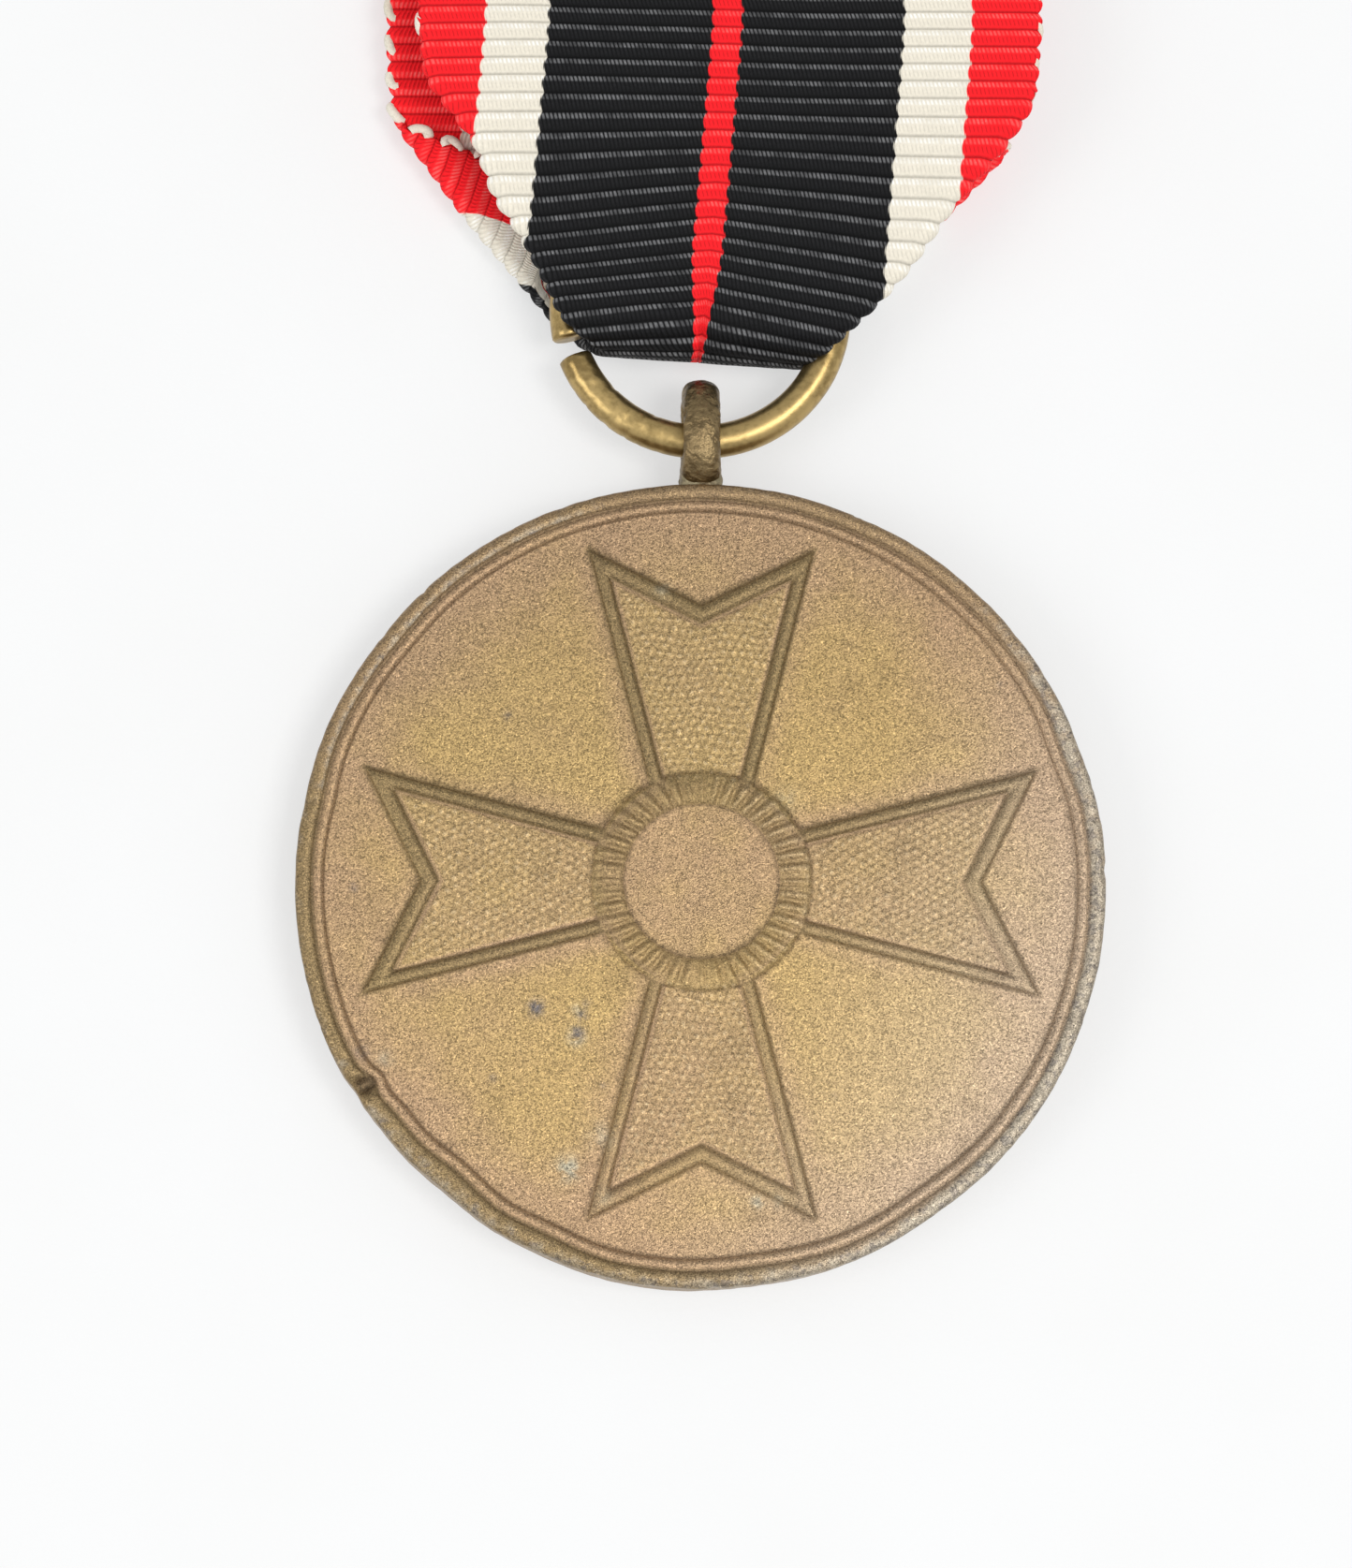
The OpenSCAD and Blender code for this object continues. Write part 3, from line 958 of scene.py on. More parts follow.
        masks = {
            "ridge": np.maximum(ridge * ridge_lit, ease(from_edge, 0.85, 0.6) * rim_dark),
            "hollow": np.maximum.reduce([hollow * 0.7, profile(from_edge, self.groove_mask) * 0.75,
                                         panel * (0.7 - pebble) * 0.7]),
            "panel": panel * (0.55 + 0.45 * pebble),
            # top: painted highlight on the pebbles' tops and on the wreath's leaves, stronger towards the
            # right
            "top": 1.8 * np.clip(panel * pebble - 0.3, 0, 1)
            + on_wreath * leaf * ease(x + 0.2 * y, -3.0, 3.5) * 0.7,
            "gild": rubbed + 0.3 * ridge + 0.8 * panel * (0.55 + 0.45 * ease(y - x, -12, 6))
            + 0.4 * (1 - outside),
            "spot": self.blots(x, y, self.dark_spots),
            "bloom": self.blots(x, y, self.pale_blooms),
        }
        return relief, masks

    @staticmethod
    def blots(x: np.ndarray, y: np.ndarray, places: tuple) -> np.ndarray:
        """Sum of round stains given as (x, y, radius, strength)."""
        total = sum(strength * np.exp(-((x - bx) ** 2 + (y - by) ** 2) / size ** 2)
                    for bx, by, size, strength in places)
        return np.clip(total, 0, 1)

    def rings_of_points(self) -> np.ndarray:
        """Points in rings: the steps of the rim and the ribs of the wreath.

        Returns:
            The points, one row each.
        """
        around = circle(np.arange(self.segments) * math.tau / self.segments)
        rows = [(self.radius - inset) * around for inset, _ in self.rim_profile]
        count = self.wreath_ribs * 6
        ribs = circle(np.arange(count) * math.tau / count)
        inner, outer = self.wreath_mid - self.wreath_half, self.wreath_mid + self.wreath_half
        rows += [r * ribs for r in np.arange(inner, outer + 0.03, self.ring_step)]
        return np.concatenate(rows)

    def arm_points(self) -> tuple:
        """Points of the right-hand arm.

        Returns:
            The points along its border's edges, and those on its panel.
        """
        lines = []
        for t, _ in self.border_profile[1:-1]:
            along, across, notch, base = self.arm_point(t)
            corners = np.array([[self.base_reach, base], [along, across], [notch, 0.0]])
            for a, b in zip(corners[:-1], corners[1:]):
                count = max(2, int(np.linalg.norm(b - a) / self.line_step))
                lines.append(a + (b - a) * np.linspace(0, 1, count)[:, None])
        half = np.concatenate(lines)
        step = self.pebble_pitch / 4
        along, across = np.meshgrid(np.arange(*self.panel_ends, step * ROW_PITCH),
                                    np.arange(-self.panel_half, self.panel_half, step))
        panel = np.stack([along.ravel(), staggered(across, along, step).ravel()], 1)
        panel = panel[self.border_depth(panel[:, 0], abs(panel[:, 1])) > 1.2]
        return np.concatenate([half, half * (1, -1)]), panel

    @staticmethod
    def four_arms(points: np.ndarray, clear_of: float) -> np.ndarray:
        """Repeats one arm's points on all four, and drops those near the centre.

        Args:
            points: points of the right-hand arm.
            clear_of: radius inside which points are dropped.

        Returns:
            The points of all four arms.
        """
        turns = [np.array([[math.cos(k), math.sin(k)], [-math.sin(k), math.cos(k)]])
                 for k in (quarter * math.pi / 2 for quarter in range(4))]
        found = np.concatenate([points @ turn for turn in turns])
        return found[np.hypot(*found.T) > clear_of]

    def obverse_points(self) -> list:
        """Points of the obverse face: along every edge of the relief, then a fill between.

        Returns:
            The points, those that must be kept first.
        """
        outline, panel = self.arm_points()
        outer = self.wreath_mid + self.wreath_half
        span = np.arange(-self.radius, self.radius, self.field_step)
        gx, gy = np.meshgrid(span, span * ROW_PITCH)
        fill = np.stack([staggered(gx, gy, self.field_step).ravel(), gy.ravel()], 1)
        fill = fill[np.hypot(*fill.T) < self.radius - self.rim_profile[-1][0] - 0.05]
        kept = list(self.rings_of_points())
        for points, clear in ((self.four_arms(outline, outer + 0.04), self.outline_clear),
                              (self.four_arms(panel, outer + 0.06), self.panel_clear),
                              (fill, self.fill_clear)):
            tree = kdtree.KDTree(len(kept))
            for number, point in enumerate(kept):
                tree.insert((*point, 0), number)
            tree.balance()
            fresh = [p for p in points if tree.find((*p, 0))[2] > clear]
            kept += self.thin(fresh, clear) if clear == self.outline_clear else fresh
        return kept

    @staticmethod
    def thin(points: list, gap: float) -> list:
        """Drops points that lie closer than gap to one already kept.

        Args:
            points: the points.
            gap: the least distance between two.

        Returns:
            The points that are kept.
        """
        cells, kept = {}, []
        for p in points:
            key = (round(p[0] / gap), round(p[1] / gap))
            near = [cells.get((key[0] + i, key[1] + j)) for i in (-1, 0, 1) for j in (-1, 0, 1)]
            if all(q is None or math.dist(p, q) > gap for q in near):
                cells[key] = p
                kept.append(p)
        return kept

    def knock(self, points: np.ndarray) -> np.ndarray:
        """Pushes the dents, nicks and the worn unevenness into the rim and edge.

        Args:
            points: points of the disc in millimetres.

        Returns:
            The moved points.
        """
        x, y, z = points.T
        r, turn = np.hypot(x, y), np.arctan2(y, x)
        push = np.zeros(len(points))
        # a dent moves the rim's inner steps most and the outer edge about half as far
        reach = ease(r, *self.dent_from) * (1 - 0.55 * ease(r, *self.edge_from))
        for dent in self.dents:
            away = (np.degrees(turn) % 360 - dent.angle + 180) % 360 - 180
            push += dent.depth * np.exp(-(away / dent.spread) ** 2) * reach
        push += 0.022 * ease(r, 14.6, 15.6) * ripple(turn * 16, z * 0.6, 4.0, 21)
        push += 0.012 * ease(r, 15.6, 16.2) * ripple(turn * 16, z * 1.5, 0.9, 22)
        # small knocks flatten the corner between the rim and the side wall
        drop = np.zeros(len(points))
        rng = np.random.default_rng(7)
        near_edge = ease(r, 15.3, 15.9)
        upper = ease(z, self.top * 0.35, self.top * 0.9)
        for _ in range(self.knocks):
            angle = rng.uniform(0, 360)
            size, deep = rng.uniform(*self.knock_size), rng.uniform(*self.knock_depth)
            level = rng.uniform(*self.knock_push)
            centre = self.radius - rng.uniform(-0.05, 0.35)
            if rng.uniform() > self.knock_chance(angle):
                continue
            a = math.radians(angle)
            plan = ((x - centre * math.cos(a)) ** 2 + (y - centre * math.sin(a)) ** 2) / size ** 2
            hit = deep * np.exp(-plan ** 1.5) * near_edge * upper
            drop += hit
            push += 0.8 * hit * level
        drop += self.nick_depth * self.nick(x, y) * ease(z, self.top * 0.5, self.top * 0.85)
        scale = (r - push) / np.maximum(r, 1e-6)
        return np.stack([x * scale, y * scale, z - drop], 1)

    @staticmethod
    def knock_chance(angle: float) -> float:
        """How likely a knock is at an angle: most at the bottom, some at the top right."""
        return 0.35 + 0.65 * (200 < angle < 350) + 0.3 * (60 < angle < 100)

    def nick(self, x: np.ndarray, y: np.ndarray) -> np.ndarray:
        """The deep nick in the rim, 1 at its bottom.

        Args:
            x: across the face.
            y: up the face.

        Returns:
            Share of its depth at each point.
        """
        a = math.radians(self.nick_angle)
        dx, dy = x - (self.radius - 0.3) * math.cos(a), y - (self.radius - 0.3) * math.sin(a)
        across = dx * math.cos(a) + dy * math.sin(a)
        around = dy * math.cos(a) - dx * math.sin(a)
        return np.exp(-((across / 0.42) ** 2 + (around / 0.36 + across * 0.5) ** 2) ** 1.4)

    def side_and_reverse(self) -> list:
        """Rows of the side wall and reverse, from the obverse rim's lower edge to the centre.

        Returns:
            Pairs of radius and height, row by row.
        """
        low, tablet = self.relief_depth, self.tablet_radius
        rows = [(self.radius, self.top * share) for share in self.wall_levels]
        rows += [(self.radius - inset, height) for inset, height in self.wall_foot]
        rows += [(self.radius - inset, -level) for inset, level in self.rim_profile[3:]]
        for u in np.linspace(-1, 1, 15):
            lift = self.garland_height * math.sqrt(max(0, 1 - u * u))
            rows.append((self.garland_mid - u * self.garland_half, low - lift))
        rows += [(tablet + 0.12, low), (tablet + 0.05, 0.12), (tablet, 0.03), (tablet - 0.08, 0.0)]
        return rows + [(r, 0.0) for r in self.tablet_rings]

    def lower_points(self, radii: np.ndarray, heights: np.ndarray, ring: np.ndarray) -> np.ndarray:
        """Points of the side wall and reverse, with the garland's leaves.

        Args:
            radii: radius of each row.
            heights: height of each row.
            ring: angle of each point in a row.

        Returns:
            The points, row by row.
        """
        radii, heights = radii[:, None], heights[:, None]
        away = abs(radii - self.garland_mid) / self.garland_half
        leaf = 0.5 + 0.5 * np.cos(self.garland_leaves * ring + 5 * (radii - self.garland_mid))
        sunk = self.garland_leaf_depth * np.sqrt(np.clip(1 - away ** 2, 0, 1)) * (1 - leaf)
        level = np.where(heights < self.relief_depth, heights + sunk * (radii < 14), heights + 0 * ring)
        return np.stack([radii * np.cos(ring), radii * np.sin(ring), level], -1).reshape(-1, 3)

    def build(self) -> bpy.types.Object:
        """Makes the disc's mesh with its masks and maps, and dresses it.

        Returns:
            The disc.
        """
        flat, _, triangles, *_ = delaunay_2d_cdt([Vector(p) for p in self.obverse_points()], [], [], 0, 1e-7)
        face = np.array([tuple(p) for p in flat])
        relief, masks = self.obverse(*face.T)
        upper = np.column_stack([face, self.top + relief])
        turn = np.arctan2(face[:, 1], face[:, 0]) % math.tau
        rim = np.flatnonzero(np.hypot(*face.T) > self.radius - 0.005)
        rim = rim[np.argsort(turn[rim])]
        count, start = self.segments, len(upper)
        ring = np.arange(count) * math.tau / count + turn[rim[0]]
        radii, heights = (np.array(v) for v in zip(*self.side_and_reverse()))
        points = np.concatenate([upper, self.lower_points(radii, heights, ring), [[0, 0, 0]]])
        k = np.arange(count)
        k_over = (k + 1) % count
        faces = [tuple(t) for t in triangles]
        faces += np.stack([rim, start + k, start + k_over, np.roll(rim, -1)], 1).tolist()
        faces += grid_faces(len(radii), count, wrap_columns=True, start=start)[:, ::-1].tolist()
        last, centre = start + (len(radii) - 1) * count, len(points) - 1
        faces += np.stack([last + k_over, last + k, np.full(count, centre)], 1).tolist()
        ob = new_object("struck_disc", self.knock(points), faces)
        self.store_masks(ob, masks, points, start)
        self.store_map(ob, points, start)
        return dress_piece(ob, StruckBronze().build(), "medal", "bronze", "medal_disc")

    def store_masks(self, ob: bpy.types.Object, masks: dict, points: np.ndarray, start: int) -> None:
        """Stores the masks of the relief and of the wear.

        Args:
            ob: the disc.
            masks: masks of the obverse points.
            points: all points before the rim was knocked.
            start: how many of them are on the obverse.
        """
        x, y, z = points.T
        r, degrees = np.hypot(x, y), np.degrees(np.arctan2(y, x)) % 360
        low = r[start:]
        garland = abs(low - self.garland_mid)
        groove = profile(self.radius - low, self.groove_mask)
        below = {"ridge": np.maximum(ease(1.35 - garland / self.garland_half, 0.2, 0.5),
                                     ease(self.radius - low, 0.85, 0.6) * 0.6),
                 "hollow": np.maximum(groove, ease(abs(garland - 1.4), 0.3, 0) * 0.7),
                 "gild": ease(low, self.tablet_radius, 3.0) * 0.7}
        for name, values in masks.items():
            set_values(ob, name, np.concatenate([values, below.get(name, np.zeros(len(low)))]))
        # bare grey metal: everywhere a little, most at the bottom and on the right
        worn = 0.3 + 0.1 * ease(degrees, 195, 225) + 0.45 * ease(degrees, 262, 300)
        worn += 0.1 * ease(degrees, 196, 222) * ease(degrees, 300, 272)
        worn += 0.45 * ease(degrees, 48, 20) * (degrees < 90)
        right = ease(abs((degrees + 180) % 360 - 180), 62, 40)
        edge = ease(r, self.radius - 0.8, self.radius - 0.1 - 0.42 * right)
        edge = edge * (0.3 * ease(z, 0.05, 0.5) + 0.7 * ease(z, 1.1, 1.9))
        pit = np.exp(-((degrees - self.nick_angle) ** 2 / 2.4 + (r - self.radius + 0.42) ** 2 / 0.12))
        # painted highlight: a bright line on the rim's inner lip at the upper left, stored with the worn
        # metal
        lip = np.exp(-((r - self.radius + 0.5) / 0.07) ** 2) * (z > 1)
        lip = lip * ease(degrees, 98, 112) * ease(degrees, 176, 160) * 0.7
        set_values(ob, "pit", pit)
        set_values(ob, "wear_and_glint", np.clip(worn * edge - pit + lip, 0, 1))

    def store_map(self, ob: bpy.types.Object, points: np.ndarray, start: int) -> None:
        """Stores the flat map: obverse large, reverse small, the side wall as a strip above.

        Args:
            ob: the disc.
            points: all points before the rim was knocked.
            start: how many of them are on the obverse.
        """
        x, y, z = points.T
        flat = points[:, :2] / (self.radius * 2 + 0.4)
        turn = np.degrees(np.arctan2(y, x)) % 360 / 360
        obverse = (np.arange(len(points)) < start)[:, None]
        under = (z < 0.4)[:, None]
        strip = np.column_stack([turn * 0.98 + 0.005, 0.8 + z * 0.02])
        lower = np.where(under, flat * 0.24 + (0.875, 0.125), strip)
        set_map(ob, "OFBake", np.where(obverse, flat * 0.74 + 0.375, lower))


# ---------------------------------------------------------------- ring, eyelet and foot

@dataclass
class SuspensionRing:
    """Split ring of round brass wire, with cut ends a hair apart."""

    split_at: float = 197.0
    split_width: float = 5.6
    split_rise: float = 0.05
    steps: int = 260
    sides: int = 28
    mark_depth: float = 0.05
    box: Box = box_of("suspension_ring")
    finish: TarnishedBrass = TarnishedBrass("ring_brass", (0.49, 0.35, 0.145), (0.27, 0.185, 0.07),
                                            bumps=0.006, patch=2.2, roughness=0.3)

    def build(self) -> bpy.types.Object:
        """Makes the ring's mesh.

        Returns:
            The ring.
        """
        wire = self.box.size[2]
        radius = (self.box.size[0] - wire) / 2
        half_gap = self.split_width / 2
        turn = np.radians(np.linspace(self.split_at + half_gap, self.split_at - half_gap + 360, self.steps))
        shrink = np.ones(self.steps)
        shrink[:2], shrink[-2:] = (0.0, 0.9), (0.9, 0.0)
        turn[0], turn[-1] = turn[1], turn[-2]
        turn[2], turn[-3] = turn[1] + 0.012, turn[-2] - 0.012
        away = np.column_stack([circle(turn), 0 * turn])
        slip = ease(abs(np.degrees(turn) - self.split_at - 180), 168, 180) * np.sign(turn - math.tau)
        centres = away * radius + self.box.mid + slip[:, None] * (0.0, 0.0, self.split_rise)
        ups = np.tile((0.0, 0.0, 1.0), (self.steps, 1))
        size = (wire * shrink)[:, None]
        points = sweep(centres, away * size, ups * size, squircle(1, 1, 2.0, self.sides))
        rows = np.repeat(centres, self.sides, 0)
        x, y, z = points.T
        around = np.degrees(np.repeat(turn, self.sides)) % 360
        marks = ease(around, 180, 205) * ease(around, 275, 240) * ease(ripple(x * 1.3, y, 0.7, 33), 0.2, 0.9)
        worn = 0.008 * ripple(x, y, 2.2, 31) + 0.003 * ripple(x + z, y - z, 0.6, 32)
        worn = np.clip(worn - self.mark_depth * marks, -0.08, 0.0)
        points = rows + (points - rows) * (1 + worn[:, None])
        ob = new_object("split_ring", points, grid_faces(self.steps, self.sides, wrap_columns=True))
        weld(ob)
        return dress_piece(ob, self.finish.build(), "ring", "ring_brass", "suspension_ring")


@dataclass
class Eyelet:
    """Cast loop that stands on the disc's edge, with its lump of solder."""

    hole: float = 2.3
    stretch: float = 0.42
    steps: int = 150
    sides: int = 32
    worn_limits: tuple = (-0.08, 0.12)
    foot_rows: int = 17
    foot_sides: int = 56
    foot_low_margin: tuple = (-0.12, 0.75, 0.1)
    foot_high_margin: tuple = (-0.12, 0.2, 0.0)
    box: Box = box_of("eyelet")
    foot: Box = box_of("solder_foot")
    finish: TarnishedBrass = TarnishedBrass("eyelet_bronze", (0.29, 0.21, 0.105), (0.155, 0.108, 0.052),
                                            patch=0.9, bumps=0.1, grain=0.26, roughness=0.3)
    solder: TarnishedBrass = TarnishedBrass("solder", (0.32, 0.27, 0.17), (0.13, 0.095, 0.055),
                                            patch=0.6, bumps=0.06, grain=0.22, roughness=0.45)

    def build(self) -> bpy.types.Object:
        """Makes the loop.

        Returns:
            The loop.
        """
        outer = self.box.size[2] / 2
        band, width = outer - self.hole / 2, self.box.size[0]
        turn = np.arange(self.steps) * math.tau / self.steps
        away = np.column_stack([0 * turn, circle(turn)])
        middle = np.array([0.0, self.box.hi[1] - outer, self.box.mid[2]])
        line = middle + away * (outer - band / 2)
        sides = np.tile((1.0, 0.0, 0.0), (self.steps, 1))
        points = sweep(line, sides, away, squircle(width, band, 2.2, self.sides))
        x, y, z = points.T
        rows = np.repeat(line, self.sides, 0)
        worn = 0.03 * ripple(x * 1.5 + z, y - z * 0.7, 0.9, 41) + 0.02 * ripple(x + y, z + x, 0.28, 42)
        flare = 0.10 * ease(-away[:, 1].repeat(self.sides), 0.2, 1.0)
        points = rows + (points - rows) * (1 + np.clip(worn + flare, *self.worn_limits))[:, None]
        points[:, 1] += self.stretch * ease(points[:, 1], middle[1], self.box.hi[1])
        faces = grid_faces(self.steps, self.sides, wrap_rows=True, wrap_columns=True)
        ob = new_object("cast_eyelet", points, faces)
        weld(ob)
        return dress_piece(ob, self.finish.build(), "medal", "eyelet_bronze", "eyelet")

    def build_foot(self) -> bpy.types.Object:
        """Makes the lump of solder between the loop and the disc's edge.

        Returns:
            The lump.
        """
        level = np.linspace(-1, 1, self.foot_rows)
        swell = (1 - abs(level) ** 5) ** 0.2
        outline = squircle(1, 1, 3.4, self.foot_sides)
        lo, hi = self.foot.lo - self.foot_low_margin, self.foot.hi + self.foot_high_margin
        mid, size = (lo + hi) / 2, hi - lo
        rings = [np.column_stack([mid[:2] + outline * size[:2] * s,
                                  np.full(self.foot_sides, mid[2] + size[2] / 2 * v)])
                 for v, s in zip(level, swell)]
        points = np.concatenate(rings)
        x, y, z = points.T
        worn = 0.05 * ripple(x * 1.2, y + z, 0.8, 51) + 0.03 * ripple(x + z, y, 0.3, 52)
        points = mid + (points - mid) * (1 + worn)[:, None]
        faces = grid_faces(self.foot_rows, self.foot_sides, wrap_columns=True)
        ob = new_object("solder_lump", points, faces)
        weld(ob)
        return dress_piece(ob, self.solder.build(), "medal", "solder", "solder_foot")


# ---------------------------------------------------------------- the ribbon

class Side(Enum):
    """The two long edges of the ribbon."""

    LEFT = -1
    RIGHT = 1


@dataclass
class RibbonPath:
    """The ribbon's line seen from the side: tucked end, back, turn, front, top fold, hem."""

    front: Box = box_of("ribbon_front")
    back: Box = box_of("ribbon_back")
    turn: Box = box_of("ribbon_turn")
    head: Box = box_of("ribbon_head")
    end: Box = box_of("ribbon_end")
    lift_from: float = 31.05
    hem_margin: float = 0.75
    step: float = 0.105

    def build(self) -> tuple:
        """Evenly spaced points of the line.

        Returns:
            The y and z of each point, and the arc length counted from the turn's lowest point.
        """
        front_z, end_z = self.front.mid[2], self.end.mid[2]
        half_thick = self.front.hi[2] - front_z
        low_z, hem_z = self.back.lo[2] + half_thick, self.head.lo[2] + half_thick
        turn_y, top_y, back_top = self.turn.hi[1], self.end.hi[1], self.back.hi[1]
        bend, top_r = (front_z - low_z) / 2, (front_z - hem_z) / 2
        arc = np.linspace(0, math.pi, 60)[1:]
        line = [(top_y, end_z), (back_top, end_z), (self.lift_from, low_z), (turn_y, low_z)]
        line += [(turn_y - bend * math.sin(a), (front_z + low_z) / 2 - bend * math.cos(a)) for a in arc]
        line += [(top_y, front_z)]
        line += [(top_y + top_r * math.sin(a), (front_z + hem_z) / 2 + top_r * math.cos(a)) for a in arc]
        line = np.array(line + [(self.end.lo[1] + self.hem_margin, hem_z)])
        run = lengths_along(line)
        s = np.linspace(0, run[-1], int(run[-1] / self.step) + 1)
        y, z = np.interp(s, run, line[:, 0]), np.interp(s, run, line[:, 1])
        calm = (y > turn_y + 2) & (y < back_top + 6) & (s < run[4])
        lowest = run[3] + (math.pi / 2) * bend
        return y, np.where(calm, smoothed(z, 6), z), s - lowest


@dataclass
class Ribbon:
    """The ribbed ribbon as one closed sheet, its sides folded in towards the turn.

    The knots of front_, back_ and _drift are (distance along the cloth from the turn, place
    across); edges are the stripes' edges across the cloth.
    """

    half_thick: float = 0.13
    rib_height: float = 0.085
    rib_pitch: float = 0.735
    rib_bow: float = 0.16
    fold_r: float = 0.25
    fold_inset: float = 0.24
    scallop: float = 0.13
    edge_scallop: float = 0.2
    flat_from: float = -3.0
    turn_reach: float = 2.4
    edges: tuple = (-10.05, -7.45, -0.70, 0.50, 7.2, 10.0)
    front_left: tuple = ((0.0, 4.0), (1.75, 5.75), (3.6, 6.5), (5.95, 7.6), (7.45, 8.55),
                         (9.65, 9.3), (12.4, 11.35), (14.6, 11.7), (16.0, 13.2), (90.0, 14.5))
    front_right: tuple = ((0.0, 4.2), (0.8, 5.1), (2.25, 6.3), (3.45, 7.5), (4.75, 8.65),
                          (7.15, 10.35), (9.75, 12.55), (11.5, 13.75), (14.6, 14.8), (90.0, 15.5))
    back_left: tuple = ((0.0, 4.0), (2.1, 5.95), (10.9, 12.4), (12.7, 13.7), (90.0, 15.0))
    back_right: tuple = ((0.0, 4.05), (2.4, 5.6), (10.9, 13.5), (12.0, 14.5), (90.0, 15.0))
    front_drift: tuple = ((0.0, -0.1), (14.9, 1.2), (18.5, 1.2), (33.5, 0.0), (90.0, 0.0))
    back_drift: tuple = ((0.0, -0.1), (2.4, 0.0), (9.4, 0.3), (14.4, -0.15), (24.4, 0.0), (90.0, 0.0))
    head: Box = box_of("ribbon_head")
    loop_height: float = 0.24
    loop_span: float = 0.78
    left_loop: float = 0.42
    right_loop: float = 0.26
    pleat: float = 0.85

    @property
    def width(self) -> float:
        """Width of the ribbon when flat."""
        return self.head.size[0]

    @staticmethod
    def along_line(sigma: np.ndarray, back: tuple, front: tuple, blur: int) -> np.ndarray:
        """A smoothed value along the ribbon from knots on each side of the turn.

        Args:
            sigma: arc length from the turn's lowest point, negative on the back.
            back: (distance, value) knots of the back.
            front: (distance, value) knots of the front.
            blur: half length of the smoothing, in rows.

        Returns:
            One value per row.
        """
        knots = [(-at, value) for at, value in reversed(back[1:])] + list(front)
        return smoothed(profile(sigma, knots), blur)

    def swell(self, arc: np.ndarray) -> np.ndarray:
        """1 on the crest of a rib, 0 between two."""
        return np.sin(arc / self.rib_pitch % 1.0 * math.pi)

    def woven(self, across: np.ndarray, sigma: np.ndarray) -> np.ndarray:
        """Length along the cloth at a point, where the ribs bow up towards the turn's middle.

        Args:
            across: distance across the cloth.
            sigma: arc length of the point's row.

        Returns:
            The length, one per point.
        """
        near = ease(sigma, 12.5, 3.5) * ease(sigma, -2.0, 2.0)
        return (sigma + self.rib_bow * np.minimum(abs(across + 0.1), 7.0) * near
                + 0.05 * ripple(across, sigma + 0 * across, 9.0, 61))

    def columns(self, fold_at: np.ndarray) -> np.ndarray:
        """Distances from the centre line of one side's columns, crowded round the fold.

        Args:
            fold_at: distance of the fold from the ribbon's centre line, per row.

        Returns:
            One row of distances per row of the ribbon.
        """
        half = self.width / 2
        before = np.clip(fold_at - 0.45, 0.5, half - 1.15)[:, None]
        after = np.clip(fold_at + 0.75, 1.6, half - 0.25)[:, None]
        inner = before * np.linspace(0, 1, 11)[None, :-1]
        roll = before + (after - before) * np.linspace(0, 1, 10)[None, :-1]
        outer = after + (half - after) * np.linspace(0, 1, 5)[None, :]
        return np.concatenate([inner, roll, outer], 1)

    def fold(self, side: Side, sigma: np.ndarray, drift: np.ndarray) -> tuple:
        """Carries one side's columns over its fold.

        Args:
            side: which side.
            sigma: arc length of each row.
            drift: sideways place of the ribbon's centre line on each row.

        Returns:
            Material distance across, folded x, folded arc length and depth, each per point.
        """
        sign = side.value
        back, front = ((self.back_left, self.front_left) if side is Side.LEFT
                       else (self.back_right, self.front_right))
        bound = self.along_line(sigma, back, front, 6)
        slope = np.arctan(np.gradient(self.along_line(sigma, back, front, 26), sigma))[:, None]
        crest = self.swell(self.woven(sign * bound, sigma)) - 0.4
        bound = bound - self.fold_inset / np.cos(slope[:, 0]) + self.scallop * crest
        across = self.columns(bound - sign * drift)
        bound, sigma = bound[:, None], sigma[:, None]
        over = across + sign * drift[:, None] - bound
        over = self.held_in(over, bound, np.cos(2 * slope), sigma)
        d, r = over * np.cos(slope), self.fold_r
        angle = np.clip((d + r) / r, 0, math.pi)
        beyond = d > (math.pi - 1) * r
        q = np.where(d < -r, d, np.where(beyond, (math.pi - 2) * r - d, r * np.sin(angle) - r))
        x = bound + over * np.sin(slope) ** 2 + q * np.cos(slope)
        s = sigma + over * np.sin(slope) * np.cos(slope) - q * np.sin(slope)
        # far inside the fold the cloth lies as if there were none
        far = over < self.flat_from
        x, s = np.where(far, bound + over, x), np.where(far, sigma + 0 * over, s)
        return across * sign, x * sign, s, r * (1 - np.cos(angle))

    def held_in(self, over: np.ndarray, bound: np.ndarray, lean: np.ndarray,
                sigma: np.ndarray) -> np.ndarray:
        """Crowds the cloth beyond a fold into the room that there is for it.

        Args:
            over: distance beyond the fold.
            bound: place of the fold.
            lean: cosine of twice the fold's slope.
            sigma: arc length of the row.

        Returns:
            The distance beyond the fold that is left.
        """
        room = np.where(lean > 0.12, (bound - 0.4) / np.maximum(lean, 0.12), 60.0)
        room = np.minimum(room, 1.0 + 40 * ease(abs(sigma), self.turn_reach + 0.6, self.turn_reach + 5.0))
        return np.where(over > 0, over * room / (np.maximum(over, 0) + room), over)

